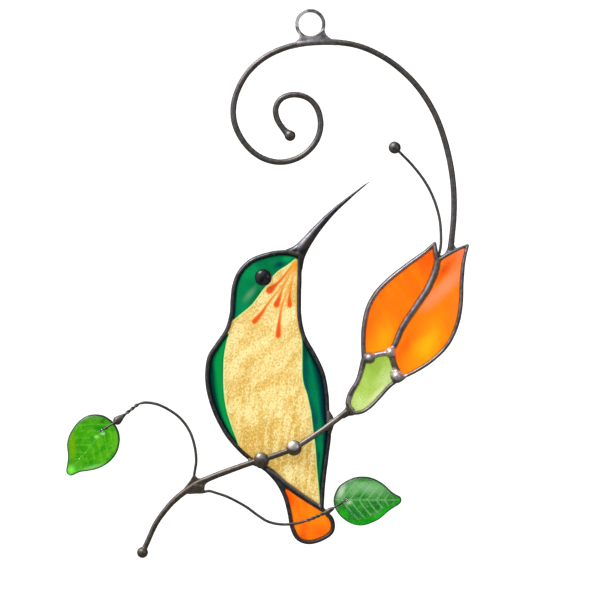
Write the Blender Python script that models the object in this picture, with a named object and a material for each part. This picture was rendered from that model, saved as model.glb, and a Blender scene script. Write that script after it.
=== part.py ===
"""Stained glass suncatcher: a hummingbird on a flowering branch, hung from a scrolled wire.

Sheets of 3 mm glass are cut to a paper pattern, edged with copper foil and soldered together.
The scroll, branch, stamen and leaf stems are tinned wires, and the leaves are pressed glass beads.
Everything stands upright in the XZ plane and faces -Y. The origin is where a hook bears in the ring.
"""

import math

import bmesh
import bpy
from mathutils import Matrix, Vector
from mathutils.geometry import intersect_line_line_2d

# Clearance between pieces that touch
GAP = 0.0003

# Sheet glass
GLASS_THICKNESS = 0.0030

# Solder over the foiled edges of the glass: its width from the front, the wall that is left between two
# panes, how far it stands proud of the glass, and how far its edges are rounded
EDGE_WIDTH = 0.0020
SEAM_WIDTH = 0.0028
SEAM_CORE = 0.0005
SOLDER_PROUD = 0.0010
SOLDER_ROUNDING = 0.0005

# Hanging ring
RING_INNER_DIAMETER = 0.0108
RING_WIRE = 0.0014
SADDLE_DIAMETER = 0.0042

# Scroll wire: the fall from the crest under the ring down to the foot on the bud
SCROLL_DROP = 0.0949
SCROLL_WIRE = 0.0025
SCROLL_BALL = 0.0047

# Bud: the height from the tip of the left petal to the base of the calyx
BUD_HEIGHT = 0.0750
CALYX_BEAD_DIAMETER = 0.0044
CALYX_BEAD_DEPTH = 0.0068

# Stamen: the rise from the notch of the bud to the ball
STAMEN_RISE = 0.0509
STAMEN_WIRE = 0.0009
STAMEN_BALL = 0.0054

# Branch: the reach from its free end across to the calyx
BRANCH_REACH = 0.0938
BRANCH_WIRE = 0.0023
BRANCH_BALL = 0.0047
CLAW_DIAMETER = 0.0066
CLAW_DEPTH = 0.0034
WEB_THICKNESS = 0.0018
WEB_ROUNDING = 0.0003

# Bird: the height from the crown of the head to the end of the tail
BIRD_HEIGHT = 0.1303
EYE_DIAMETER = 0.0076
EYE_RISE = 0.0022

# Beak: the length from the corner of the head to the point
BEAK_LENGTH = 0.0454
BEAK_ROOT_DIAMETER = 0.0054
BEAK_FIRST_DIAMETER = 0.0038
BEAK_SECOND_DIAMETER = 0.0028
BEAK_THIRD_DIAMETER = 0.0015
BEAK_POINT_DIAMETER = 0.0004

# Leaf stems: the reach from the fork of the branch across to the knot at the leaf
LEFT_STEM_REACH = 0.0344
RIGHT_STEM_REACH = 0.0554
STEM_WIRE = 0.0009
WRAP_DIAMETER = 0.0015
LEFT_KNOT_DIAMETER = 0.0032
RIGHT_KNOT_DIAMETER = 0.0023
LEFT_LOOP_LENGTH = 0.0090
RIGHT_LOOP_LENGTH = 0.0100

# Pressed glass leaves
LEAF_LENGTH = 0.0306
LEAF_WIDTH = 0.0218
LEAF_THICKNESS = 0.0032
LEAF_ROUNDING = 0.0009
HOLE_FROM_END = 0.0066
HOLE_PLAY = 0.0006

# How finely the solids are cut
SPAN_PARTS = 2
BALL_STEPS = 4
RING_SIDES = 24
HOLE_SIDES = 8

# The paper pattern. Its lines are given as (across, down) in squares of the ruled sheet, and each figure
# is drawn from one anchor point at its own real size.
SCROLL_CREST = (310.3, 42.4)
SCROLL_FOOT = (449.8, 253.2)
SCROLL_LINE = [
    (290, 135.5), (283, 128.3), (277.2, 119), (275.7, 108.5), (280.5, 99.5), (289, 95.3),
    (299, 95), (309.5, 99.2), (317, 108), (320.6, 122), (318.5, 136), (311, 148.2),
    (298, 158), (280.5, 162.2), (262, 157.8), (246, 144.8), (235.8, 127), (233.2, 110),
    (237, 92), (247.5, 73), (263, 58.6), (283, 48.5), SCROLL_CREST, (335, 42.1),
    (358, 45.7), (380, 55), (402, 70.5), (421, 91), (436.5, 117.5), (447.3, 150),
    (453, 182), (454, 210), (452.3, 234), SCROLL_FOOT,
]
UNDER_RING = slice(19, 27)
SADDLE_LINE = [(292.5, 45.5), (301, 39.6), (311, 38.2), (323, 37.6), (337, 42)]

LEFT_TIP = (433.9, 245.6)
RIGHT_TIP = (466.6, 247.4)
NOTCH = (437.6, 260.5)
CALYX_LEFT = (364, 360)
CALYX_TOP = (391, 352)
CALYX_RIGHT = (400.5, 378)
CALYX_BASE = (352.5, 412.2)
LEFT_PETAL_EDGE = [
    CALYX_LEFT, (363.4, 345), (364, 328), (367.9, 309), (376, 293.5), (389.3, 279.6),
    (406.2, 266.1), (420, 256), LEFT_TIP,
]
LEFT_TIP_EDGE = [LEFT_TIP, (436.3, 252), NOTCH]
RIGHT_TIP_EDGE = [NOTCH, SCROLL_FOOT, RIGHT_TIP]
PETAL_SEAM = [NOTCH, (434.6, 273), (427.5, 289), (414.3, 309), (401.5, 329), (395.2, 344), CALYX_TOP]
RIGHT_PETAL_EDGE = [
    RIGHT_TIP, (463, 265), (461.4, 285), (460.4, 306), (456.6, 325), (447, 345),
    (432, 360), (417, 370), CALYX_RIGHT,
]
CALYX_TOP_SEAM = [CALYX_LEFT, (377, 354.6), CALYX_TOP]
CALYX_SIDE_SEAM = [CALYX_TOP, (394.5, 366), CALYX_RIGHT]
CALYX_EDGE = [
    CALYX_RIGHT, (390, 385.5), (380.8, 395.3), (371.7, 405), (362, 411.6), CALYX_BASE,
    (347.6, 405), (350, 393.5), (357.5, 381), CALYX_LEFT,
]
CALYX_BEADS = [(369.5, 357.5), (391, 351.5), (397.2, 374.5)]
STAMEN_LINE = [
    NOTCH, (440.6, 247), (441, 236), (439.6, 219), (434, 199.5), (425.5, 182.5),
    (413.5, 166.5), (399.5, 152), (394.7, 147.5),
]

BRANCH_END = (142.5, 552.5)
BRANCH_JOIN = (351, 408.5)
BRANCH_LINE = [
    BRANCH_END, (147, 543), (156, 523.5), (168, 505.5), (184, 490.8), (204, 479.8),
    (226, 470.8), (252, 462.5), (272, 456.7), (294, 448), (318, 433), (334, 421.5), BRANCH_JOIN,
]
CLAWS = [(260.5, 460), (294, 448)]
PERCH = (277, 455)
FORK_LEFT = (194, 472.5)
FORK_RIGHT = (205.5, 491.2)
FORK_WEB = [
    (192, 472.8), (190.3, 480), (181, 491.4), (187, 493.2), (205.3, 493.2), (205.6, 489.2),
    (209.5, 479.5), (201, 479), (196, 472.2),
]

BEAK_CORNER = (299.5, 255)
PERCH_CORNER = (256, 463)
TAIL_CORNER = (321.5, 508.5)
CROWN = (284, 252.3)
TAIL_END = (308, 541.9)
HEAD_AND_BACK = [
    BEAK_CORNER, CROWN, (267, 254.8), (251.3, 260.8), (240.4, 271.4), (234.6, 285.2),
    (232.8, 300), (231.8, 314), (227.2, 330), (217.6, 344.6), (210, 356.5), (207.4, 373),
    (208.9, 391), (215, 411.2), (226.7, 433.6), (241.5, 451), PERCH_CORNER,
]
TAIL_SEAM = [PERCH_CORNER, (269, 469.5), (284, 482.5), (301, 495), TAIL_CORNER]
BREAST_EDGE = [
    TAIL_CORNER, (323, 484), (326.3, 457), (329, 432), (327.3, 412), (326.2, 393),
    (322, 372), (312.8, 353), (303.6, 336.5), (299.4, 318), (298.9, 298), (299.4, 276), BEAK_CORNER,
]
TAIL_EDGE = [
    PERCH_CORNER, (267.3, 471), (277, 482), (284.6, 496), (289.3, 512), (292.2, 527),
    (298, 538), TAIL_END, (321, 539), (331.5, 531.5), (332, 520.5), TAIL_CORNER,
]
EYE_CENTRE = (263.3, 277.5)
BEAK_POINT = (369, 182)
BEAK_LINE = [BEAK_CORNER, (309.2, 237), (321, 223), (341, 204.3), BEAK_POINT]

LEFT_KNOT = (117.5, 420.5)
RIGHT_KNOT = (328.5, 511)
LEFT_STEM_LINE = [
    FORK_LEFT, (196.2, 462), (194.8, 447), (190, 432), (181, 419), (169, 409.8),
    (155, 403.7), (141, 403.2), (130, 410.5), LEFT_KNOT,
]
RIGHT_STEM_LINE = [
    FORK_RIGHT, (216, 492), (232, 497.6), (247, 506), (261, 517.6),
    (274, 524), (289, 525), (304, 521.8), (317, 516), RIGHT_KNOT,
]
LEFT_LOOP_RUN = (-15.5, 11)
RIGHT_LOOP_RUN = (19.5, -11)
LEFT_LEAF_RUN = (-41, 54)
RIGHT_LEAF_RUN = (54, 0)

# Half of a leaf's outline: share of its length from the stem end, share of its half width
LEAF_PROFILE = [
    (0, 0), (0.025, 0.38), (0.1, 0.66), (0.24, 0.92), (0.4, 1.0), (0.58, 0.88), (0.74, 0.6),
    (0.87, 0.28), (0.96, 0.14), (1, 0),
]


def clear_scene():
    for obj in list(bpy.data.objects):
        bpy.data.objects.remove(obj, do_unlink=True)


def pattern(anchor, place, size, squares):
    """A function that carries a point of the paper pattern into the model, where anchor lands on place."""
    scale = size / squares

    def carry(point):
        across = (point[0] - anchor[0]) * scale
        down = (point[1] - anchor[1]) * scale
        return Vector((place.x + across, 0, place.z - down))

    return carry


def rise(low, high):
    """Squares between two points of the pattern, down the sheet."""
    return abs(low[1] - high[1])


def reach(left, right):
    """Squares between two points of the pattern, across the sheet."""
    return abs(left[0] - right[0])


def along(run):
    """The direction in the model of a run drawn on the pattern."""
    return Vector((run[0], 0, -run[1])).normalized()


def smooth_line(knots, parts=SPAN_PARTS):
    """The smooth curve through the knots, a centripetal Catmull-Rom spline with each span cut in parts."""
    first = knots[0] * 2 - knots[1]
    last = knots[-1] * 2 - knots[-2]
    control = [first, *knots, last]
    line = [knots[0].copy()]
    for p0, p1, p2, p3 in zip(control, control[1:], control[2:], control[3:]):
        t1 = (p1 - p0).length ** 0.5
        t2 = t1 + (p2 - p1).length ** 0.5
        t3 = t2 + (p3 - p2).length ** 0.5
        for part in range(1, parts + 1):
            t = t1 + (t2 - t1) * part / parts
            a1 = p0.lerp(p1, t / t1)
            a2 = p1.lerp(p2, (t - t1) / (t2 - t1))
            a3 = p2.lerp(p3, (t - t2) / (t3 - t2))
            b1 = a1.lerp(a2, t / t2)
            b2 = a2.lerp(a3, (t - t1) / (t3 - t1))
            line.append(b1.lerp(b2, (t - t1) / (t2 - t1)))
    return line


def drawn(carry, points):
    return smooth_line([carry(point) for point in points])


def slanted(points, near, far):
    """The line set at depth near where it starts and far where it ends."""
    last = len(points) - 1
    return [point + Vector((0, near + (far - near) * index / last, 0)) for index, point in enumerate(points)]


def new_object(name, data):
    obj = bpy.data.objects.new(name, data)
    bpy.context.scene.collection.objects.link(obj)
    return obj


def as_mesh(obj, weld):
    """The object as the viewport evaluates it, as a plain mesh. The caps of a curve need the weld."""
    bpy.context.view_layer.update()
    graph = bpy.context.evaluated_depsgraph_get()
    data = bpy.data.meshes.new_from_object(obj.evaluated_get(graph))
    data.transform(obj.matrix_world)
    if weld:
        shape = bmesh.new()
        shape.from_mesh(data)
        bmesh.ops.remove_doubles(shape, verts=shape.verts, dist=1e-6)
        bmesh.ops.recalc_face_normals(shape, faces=shape.faces)
        shape.to_mesh(data)
        shape.free()
    name = obj.name
    bpy.data.objects.remove(obj, do_unlink=True)
    return new_object(name, data)


def mesh_object(name, shape):
    bmesh.ops.recalc_face_normals(shape, faces=shape.faces)
    data = bpy.data.meshes.new(name)
    shape.to_mesh(data)
    shape.free()
    return new_object(name, data)


def combine(target, others, operation):
    """Joins the others to the target, or cuts them from it, and removes them."""
    for other in others:
        step = target.modifiers.new(operation.title(), "BOOLEAN")
        step.operation = operation
        step.solver = "EXACT"
        step.object = other
    made = as_mesh(target, weld=False)
    for other in others:
        bpy.data.objects.remove(other, do_unlink=True)
    return made


def even(points):
    """The line of a wire that is as thick all along: its points, each with its share of the thickness."""
    return [(point, 1.0) for point in points]


def tube(name, line, diameter, roundness=2):
    """A round wire along a line of points, each with its share of the diameter."""
    data = bpy.data.curves.new(name, "CURVE")
    data.dimensions = "3D"
    data.bevel_depth = diameter / 2
    data.bevel_resolution = roundness
    data.use_fill_caps = True
    path = data.splines.new("POLY")
    path.points.add(len(line) - 1)
    for target, (point, share) in zip(path.points, line):
        target.co = (*point, 1)
        target.radius = share
    return as_mesh(new_object(name, data), weld=True)


def ball_end(line, wire, ball):
    """The line of a wire with a ball drawn on its end. The line's last point is the ball's centre."""
    centre = line[-1][0]
    radius = ball / 2
    neck = math.asin(min(0.96, wire / ball))
    kept = [(point, share) for point, share in line if (point - centre).length > radius * 1.15]
    forward = (centre - kept[-1][0]).normalized()
    for step in range(BALL_STEPS + 1):
        turn = neck + (math.radians(170) - neck) * step / BALL_STEPS
        kept.append((centre - forward * radius * math.cos(turn), math.sin(turn) * ball / wire))
    return kept


def bead(name, centre, diameter, depth, segments=10, rings=6):
    """A ball of solder, squeezed or drawn out along Y."""
    shape = bmesh.new()
    bmesh.ops.create_uvsphere(shape, u_segments=segments, v_segments=rings, radius=diameter / 2)
    bmesh.ops.rotate(shape, verts=shape.verts, cent=(0, 0, 0), matrix=Matrix.Rotation(math.pi / 2, 3, "X"))
    bmesh.ops.scale(shape, verts=shape.verts, vec=(1, depth / diameter, 1))
    bmesh.ops.translate(shape, verts=shape.verts, vec=centre)
    return mesh_object(name, shape)


def cylinder(name, centre, diameter, depth, sides):
    """A cylinder that lies along Y."""
    shape = bmesh.new()
    bmesh.ops.create_cone(
        shape, cap_ends=True, segments=sides, radius1=diameter / 2, radius2=diameter / 2, depth=depth,
    )
    bmesh.ops.rotate(shape, verts=shape.verts, cent=(0, 0, 0), matrix=Matrix.Rotation(math.pi / 2, 3, "X"))
    bmesh.ops.translate(shape, verts=shape.verts, vec=centre)
    return mesh_object(name, shape)


def plate(name, border, holes, thickness, rounding=0.0, depth=0.0):
    """A flat piece inside the closed border, less the holes, with its middle plane at the depth."""
    data = bpy.data.curves.new(name, "CURVE")
    data.dimensions = "2D"
    data.fill_mode = "BOTH"
    data.extrude = thickness / 2 - rounding
    data.bevel_depth = rounding
    data.bevel_resolution = 0
    data.offset = -rounding
    for loop in (wound(border), *[wound(hole)[::-1] for hole in holes]):
        path = data.splines.new("POLY")
        path.points.add(len(loop) - 1)
        for target, point in zip(path.points, loop):
            target.co = (point.x, point.z, 0, 1)
        path.use_cyclic_u = True
    obj = new_object(name, data)
    obj.matrix_world = Matrix.Translation((0, depth, 0)) @ Matrix.Rotation(math.pi / 2, 4, "X")
    return as_mesh(obj, weld=True)


def signed_area(outline):
    return sum(a.x * b.z - b.x * a.z for a, b in zip(outline, outline[1:] + outline[:1])) / 2


def wound(outline):
    """The closed outline, turned round where needed so that all outlines run the same way."""
    return outline if signed_area(outline) > 0 else outline[::-1]


def outline_of(*strokes):
    """The closed outline that strokes make one after another, and the width of solder along each side."""
    points = []
    widths = []
    for line, width in strokes:
        points += line[:-1]
        widths += [width] * (len(line) - 1)
    if signed_area(points) < 0:
        points = [points[0]] + points[:0:-1]
        widths.reverse()
    return points, widths


def moved_in(outline, distances):
    """The closed outline with each of its sides moved in by its distance, or out by a negative one."""
    count = len(outline)
    moved = []
    for index, here in enumerate(outline):
        before = (here - outline[index - 1]).normalized()
        after = (outline[(index + 1) % count] - here).normalized()
        left = Vector((-before.z, 0, before.x)) * distances[index - 1]
        right = Vector((-after.z, 0, after.x)) * distances[index]
        turn = before.x * after.z - before.z * after.x
        bend = before.dot(after)
        if distances[index] < 0 and turn > 0 and bend < 0.75:
            moved.append(here + left + before * left.length * 0.5)
            moved.append(here + right - after * right.length * 0.5)
        elif bend > 0.99:
            moved.append(here + (left + right) / 2)
        else:
            apart = right - left
            moved.append(here + left + before * (apart.x * after.z - apart.z * after.x) / turn)
    return without_loops(moved)


def without_loops(outline):
    """The outline without the small loops that it makes where it was moved in at a narrow corner."""
    count = len(outline)
    flat = [Vector((point.x, point.z)) for point in outline]
    for skipped in range(count // 3, 1, -1):
        for here in range(count):
            there = (here + skipped) % count
            crossing = intersect_line_line_2d(
                flat[here], flat[(here + 1) % count], flat[there], flat[(there + 1) % count]
            )
            if crossing:
                kept = [outline[(there + 1 + step) % count] for step in range(count - skipped)]
                return without_loops([Vector((crossing.x, 0, crossing.y)), *kept])
    return outline


def inset(outline, distance):
    return moved_in(outline, [distance] * len(outline))


def glazed(name, border, panes, blobs):
    """The panes, each a name, an outline with widths of solder and a finish, and the solder round them."""
    for pane_name, (outline, _), glass in panes:
        pane = plate(pane_name, inset(outline, SEAM_CORE / 2 + GAP), [], GLASS_THICKNESS)
        finish(pane, pane_name, glass, smooth=False)
    windows = [moved_in(outline, [width / 2 for width in widths]) for _, (outline, widths), _ in panes]
    frame = plate(name, inset(border, -EDGE_WIDTH / 2), windows, FRAME_DEPTH, SOLDER_ROUNDING)
    if blobs:
        frame = combine(frame, blobs, "UNION")
    channel = GLASS_THICKNESS + 2 * GAP
    channels = [plate("channel", inset(outline, SEAM_CORE / 2), [], channel) for _, (outline, _), _ in panes]
    return finish(combine(frame, channels, "DIFFERENCE"), name, SOLDER)


def room_round(border):
    """The room that a figure takes, for pieces that stop against its edge."""
    return plate("room", inset(border, -EDGE_WIDTH / 2 - GAP), [], 3 * FRAME_DEPTH)


def material(name, colour, metallic, roughness, transmission=0.0):
    made = bpy.data.materials.new(name)
    made.use_nodes = True
    shader = made.node_tree.nodes["Principled BSDF"]
    shader.inputs["Base Color"].default_value = (*colour, 1)
    shader.inputs["Metallic"].default_value = metallic
    shader.inputs["Roughness"].default_value = roughness
    shader.inputs["Transmission Weight"].default_value = transmission
    return made


def finish(obj, name, made_of, smooth=True):
    obj.name = name
    obj.data.name = name
    obj.data.materials.clear()
    obj.data.materials.append(made_of)
    if smooth:
        obj.data.shade_smooth()
        obj.data.set_sharp_from_angle(angle=math.radians(40))
    return obj


clear_scene()

SOLDER = material("blackened_solder", (0.10, 0.095, 0.10), 0.85, 0.38)
WIRE = material("blackened_wire", (0.09, 0.085, 0.085), 0.85, 0.42)
PAINTED = material("amber_painted_glass", (0.86, 0.66, 0.27), 0.0, 0.25, 0.5)
ORANGE = material("orange_glass", (0.95, 0.27, 0.02), 0.0, 0.15, 0.6)
LIME = material("lime_glass", (0.55, 0.76, 0.25), 0.0, 0.15, 0.6)
GREEN = material("green_pressed_glass", (0.10, 0.55, 0.06), 0.0, 0.08, 0.8)
BLACK = material("black_glass", (0.01, 0.01, 0.012), 0.0, 0.06)

# Depths: the panes stand on y = 0, the branch lies on the front of the solder, and the leaves hang before it
FRAME_DEPTH = GLASS_THICKNESS + 2 * SOLDER_PROUD
BRANCH_PLANE = -(FRAME_DEPTH / 2 + GAP + BRANCH_WIRE / 2)
LOOP_HALF_DEPTH = LEAF_THICKNESS / 2 + GAP + STEM_WIRE / 2
LEAF_PLANE = -(FRAME_DEPTH / 2 + GAP + STEM_WIRE / 2 + LOOP_HALF_DEPTH)

# Each figure is hung from the one before: ring, scroll, bud, branch, bird and leaf stems
CREST_DROP = RING_INNER_DIAMETER + RING_WIRE + GAP + SCROLL_WIRE / 2
on_scroll = pattern(SCROLL_CREST, Vector((0, 0, -CREST_DROP)), SCROLL_DROP, rise(SCROLL_CREST, SCROLL_FOOT))
on_bud = pattern(SCROLL_FOOT, on_scroll(SCROLL_FOOT), BUD_HEIGHT, rise(LEFT_TIP, CALYX_BASE))
on_stamen = pattern(NOTCH, on_bud(NOTCH), STAMEN_RISE, rise(NOTCH, STAMEN_LINE[-1]))
on_branch = pattern(BRANCH_JOIN, on_bud(BRANCH_JOIN), BRANCH_REACH, reach(BRANCH_END, BRANCH_JOIN))
on_bird = pattern(PERCH, on_branch(PERCH), BIRD_HEIGHT, rise(CROWN, TAIL_END))
on_beak = pattern(BEAK_CORNER, on_bird(BEAK_CORNER), BEAK_LENGTH, math.dist(BEAK_CORNER, BEAK_POINT))
on_left_stem = pattern(FORK_LEFT, on_branch(FORK_LEFT), LEFT_STEM_REACH, reach(LEFT_KNOT, FORK_LEFT))
on_right_stem = pattern(FORK_RIGHT, on_branch(FORK_RIGHT), RIGHT_STEM_REACH, reach(FORK_RIGHT, RIGHT_KNOT))


def make_ring():
    """The jump ring, and the saddle of solder that seats it on the scroll wire."""
    middle = Vector((0, 0, -RING_INNER_DIAMETER / 2))
    bpy.ops.mesh.primitive_torus_add(
        major_segments=RING_SIDES,
        minor_segments=8,
        major_radius=(RING_INNER_DIAMETER + RING_WIRE) / 2,
        minor_radius=RING_WIRE / 2,
        location=middle,
        rotation=(math.pi / 2, 0, 0),
    )
    torus = as_mesh(bpy.context.active_object, weld=False)
    points = drawn(on_scroll, SADDLE_LINE)
    last = len(points) - 1
    line = [(p, 0.3 + 0.7 * math.sin(math.pi * index / last)) for index, p in enumerate(points)]
    bore = cylinder("bore", middle, RING_INNER_DIAMETER + RING_WIRE * 0.7, 2 * SADDLE_DIAMETER, RING_SIDES)
    wire_room = tube("room", even(drawn(on_scroll, SCROLL_LINE[UNDER_RING])), SCROLL_WIRE + 2 * GAP)
    saddle = combine(tube("saddle", line, SADDLE_DIAMETER), [bore, wire_room], "DIFFERENCE")
    return finish(combine(torus, [saddle], "UNION"), "hanging_ring", SOLDER)


def make_scroll(border):
    """The wire that carries everything, from its ball end round under the ring to the bud."""
    line = ball_end(even(drawn(on_scroll, SCROLL_LINE)[::-1]), SCROLL_WIRE, SCROLL_BALL)
    scroll = tube("scroll", line, SCROLL_WIRE)
    return finish(combine(scroll, [room_round(border)], "DIFFERENCE"), "scroll_wire", WIRE)


def make_bud():
    """Two petals and a calyx, with three beads of solder at the calyx's corners. Gives the bud's border."""
    left, left_tip, right_tip, right, base = (
        (drawn(on_bud, line), EDGE_WIDTH)
        for line in (LEFT_PETAL_EDGE, LEFT_TIP_EDGE, RIGHT_TIP_EDGE, RIGHT_PETAL_EDGE, CALYX_EDGE)
    )
    middle, top, side = (
        (drawn(on_bud, line), SEAM_WIDTH) for line in (PETAL_SEAM, CALYX_TOP_SEAM, CALYX_SIDE_SEAM)
    )
    top_back, side_back, middle_back = ((line[::-1], width) for line, width in (top, side, middle))
    panes = [
        ("left_petal_glass", outline_of(left, left_tip, middle, top_back), ORANGE),
        ("right_petal_glass", outline_of(right_tip, right, side_back, middle_back), ORANGE),
        ("calyx_glass", outline_of(top, side, base), LIME),
    ]
    border = outline_of(left, left_tip, right_tip, right, base)[0]
    beads = [bead("bead", on_bud(p), CALYX_BEAD_DIAMETER, CALYX_BEAD_DEPTH) for p in CALYX_BEADS]
    glazed("bud_solder", border, panes, beads)
    return border


def make_stamen(border):
    """A fine wire with a large ball, which stands in the notch between the petals."""
    line = ball_end(even(drawn(on_stamen, STAMEN_LINE)), STAMEN_WIRE, STAMEN_BALL)
    stamen = tube("stamen", line, STAMEN_WIRE, roundness=1)
    return finish(combine(stamen, [room_round(border)], "DIFFERENCE"), "stamen_wire", WIRE)


def make_branch():
    """The branch across the front, with its claws on the bird and the web that carries the leaf stems."""
    points = [p + Vector((0, BRANCH_PLANE, 0)) for p in drawn(on_branch, BRANCH_LINE)]
    line = ball_end(even(points), BRANCH_WIRE, BRANCH_WIRE)
    line = ball_end(line[::-1], BRANCH_WIRE, BRANCH_BALL)
    back = FRAME_DEPTH / 2 + GAP + BRANCH_WIRE / 10
    claw_plane = Vector((0, -back - CLAW_DEPTH / 2, 0))
    claws = [bead("claw", on_branch(p) + claw_plane, CLAW_DIAMETER, CLAW_DEPTH, 12, 8) for p in CLAWS]
    corners = [on_branch(point) for point in FORK_WEB]
    web = plate("web", corners, [], WEB_THICKNESS, WEB_ROUNDING, BRANCH_PLANE)
    return finish(combine(tube("branch", line, BRANCH_WIRE), [web, *claws], "UNION"), "branch_wire", WIRE)


def make_bird():
    """The bird's body and tail panes in their solder. Gives the bird's border."""
    back, breast, tail = (
        (drawn(on_bird, line), EDGE_WIDTH) for line in (HEAD_AND_BACK, BREAST_EDGE, TAIL_EDGE)
    )
    seam = (drawn(on_bird, TAIL_SEAM), SEAM_WIDTH)
    seam_back = (seam[0][::-1], SEAM_WIDTH)
    panes = [
        ("bird_body_glass", outline_of(back, seam, breast), PAINTED),
        ("bird_tail_glass", outline_of(tail, seam_back), ORANGE),
    ]
    border = outline_of(back, tail, breast)[0]
    glazed("bird_solder", border, panes, [])
    return border


def make_eye():
    """A black glass dome on the front of the body pane."""
    shape = bmesh.new()
    bmesh.ops.create_uvsphere(shape, u_segments=16, v_segments=8, radius=EYE_DIAMETER / 2)
    bmesh.ops.rotate(shape, verts=shape.verts, cent=(0, 0, 0), matrix=Matrix.Rotation(math.pi / 2, 3, "X"))
    everything = [*shape.verts, *shape.edges, *shape.faces]
    cut = bmesh.ops.bisect_plane(
        shape, geom=everything, plane_co=(0, 0, 0), plane_no=(0, 1, 0), clear_outer=True
    )
    rim = [item for item in cut["geom_cut"] if isinstance(item, bmesh.types.BMEdge)]
    bmesh.ops.contextual_create(shape, geom=rim)
    bmesh.ops.scale(shape, verts=shape.verts, vec=(1, 2 * EYE_RISE / EYE_DIAMETER, 1))
    seat = Vector((0, -GLASS_THICKNESS / 2 - GAP, 0))
    bmesh.ops.translate(shape, verts=shape.verts, vec=on_bird(EYE_CENTRE) + seat)
    return finish(mesh_object("bird_eye", shape), "bird_eye", BLACK)


def make_beak(border):
    """A spike of solder drawn out from the corner of the head."""
    sizes = [BEAK_ROOT_DIAMETER, BEAK_FIRST_DIAMETER, BEAK_SECOND_DIAMETER, BEAK_THIRD_DIAMETER]
    sizes.append(BEAK_POINT_DIAMETER)
    line = []
    for index, point in enumerate(drawn(on_beak, BEAK_LINE)):
        span = min(index // SPAN_PARTS, len(sizes) - 2)
        share = index / SPAN_PARTS - span
        size = sizes[span] * (1 - share) + sizes[span + 1] * share
        line.append((point, size / BEAK_ROOT_DIAMETER))
    beak = tube("beak", line, BEAK_ROOT_DIAMETER)
    return finish(combine(beak, [room_round(border)], "DIFFERENCE"), "bird_beak", SOLDER)


def make_stem(name, points, knot_size, run, loop_length):
    """A leaf's stem: fine wire from the fork, wrapped near the leaf, a knot, and a loop through the leaf."""
    points = slanted(points, BRANCH_PLANE, LEAF_PLANE)
    points[0] += (points[1] - points[0]).normalized() * GAP
    line = even(points)
    for index in range(len(line) - 5, len(line)):
        line[index] = (points[index], WRAP_DIAMETER / STEM_WIRE * (1.0 if index % 2 else 0.85))
    knot = points[-1]
    corners = [
        (0, 0.25), (knot_size / 2, 0.95), (loop_length - STEM_WIRE, 1.05), (loop_length, 0.75),
    ]
    corners += [(out, -side) for out, side in reversed(corners)]
    loop = [knot + run * out - Vector((0, side * LOOP_HALF_DEPTH, 0)) for out, side in corners]
    stem = tube("stem", line, STEM_WIRE, roundness=1)
    loop = tube("loop", even(loop), STEM_WIRE, roundness=1)
    ball = bead("knot", knot, knot_size, knot_size)
    return finish(combine(ball, [stem, loop], "UNION"), name, WIRE)


def make_leaf(name, hole, forward):
    """A pressed glass leaf, hung by the hole near its stem end."""
    across = Vector((-forward.z, 0, forward.x))
    end = hole - forward * HOLE_FROM_END
    half = smooth_line([Vector((share, 0, width)) for share, width in LEAF_PROFILE])
    side = [end + forward * p.x * LEAF_LENGTH + across * p.z * LEAF_WIDTH / 2 for p in half]
    other = [end + forward * p.x * LEAF_LENGTH - across * p.z * LEAF_WIDTH / 2 for p in half]
    leaf = plate(name, side + other[-2:0:-1], [], LEAF_THICKNESS, LEAF_ROUNDING, LEAF_PLANE)
    hole_diameter = STEM_WIRE + 2 * HOLE_PLAY
    middle = hole + Vector((0, LEAF_PLANE, 0))
    drill = cylinder("drill", middle, hole_diameter, 3 * LEAF_THICKNESS, HOLE_SIDES)
    return finish(combine(leaf, [drill], "DIFFERENCE"), name, GREEN)


def make_sprig(side, carry, stem_line, knot_size, loop_run, loop_length, leaf_run):
    """A stem with its leaf."""
    run = along(loop_run)
    make_stem(side + "_leaf_stem", drawn(carry, stem_line), knot_size, run, loop_length)
    hole = carry(stem_line[-1]) + run * loop_length
    make_leaf(side + "_leaf_glass", hole, along(leaf_run))


make_ring()
bud_border = make_bud()
make_scroll(bud_border)
make_stamen(bud_border)
make_branch()
bird_border = make_bird()
make_eye()
make_beak(bird_border)
make_sprig(
    "left", on_left_stem, LEFT_STEM_LINE, LEFT_KNOT_DIAMETER, LEFT_LOOP_RUN, LEFT_LOOP_LENGTH, LEFT_LEAF_RUN
)
make_sprig(
    "right", on_right_stem, RIGHT_STEM_LINE, RIGHT_KNOT_DIAMETER, RIGHT_LOOP_RUN, RIGHT_LOOP_LENGTH,
    RIGHT_LEAF_RUN,
)
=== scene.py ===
import math

import bmesh
import bpy
import numpy as np
from mathutils import Matrix, Vector, noise


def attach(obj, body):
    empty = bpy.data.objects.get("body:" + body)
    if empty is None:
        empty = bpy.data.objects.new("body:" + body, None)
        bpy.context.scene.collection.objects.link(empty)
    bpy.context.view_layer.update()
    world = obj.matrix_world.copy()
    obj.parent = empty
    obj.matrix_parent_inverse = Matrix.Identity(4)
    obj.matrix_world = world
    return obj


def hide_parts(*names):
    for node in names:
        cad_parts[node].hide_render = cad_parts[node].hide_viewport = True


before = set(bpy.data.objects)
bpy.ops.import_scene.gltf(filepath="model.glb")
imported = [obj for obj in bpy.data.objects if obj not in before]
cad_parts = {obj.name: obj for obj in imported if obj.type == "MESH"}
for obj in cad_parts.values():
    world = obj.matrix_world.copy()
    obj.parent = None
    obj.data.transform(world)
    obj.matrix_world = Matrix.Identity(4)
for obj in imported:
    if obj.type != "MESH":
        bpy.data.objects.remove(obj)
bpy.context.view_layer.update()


# The room: a white wall far behind lights the glass through, and three soft lamps pick out the solder.
# The hanging is seen square on from a little over a metre away, high above a pale floor.
EYE_DISTANCE = 1.2
EYE_X = -0.004635
EYE_Z = -0.12951
FLOOR_LEVEL = -0.9
FLOOR_RADIUS = 5.5
HANGING_MIDDLE = Vector((0, 0, -0.13))


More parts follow.
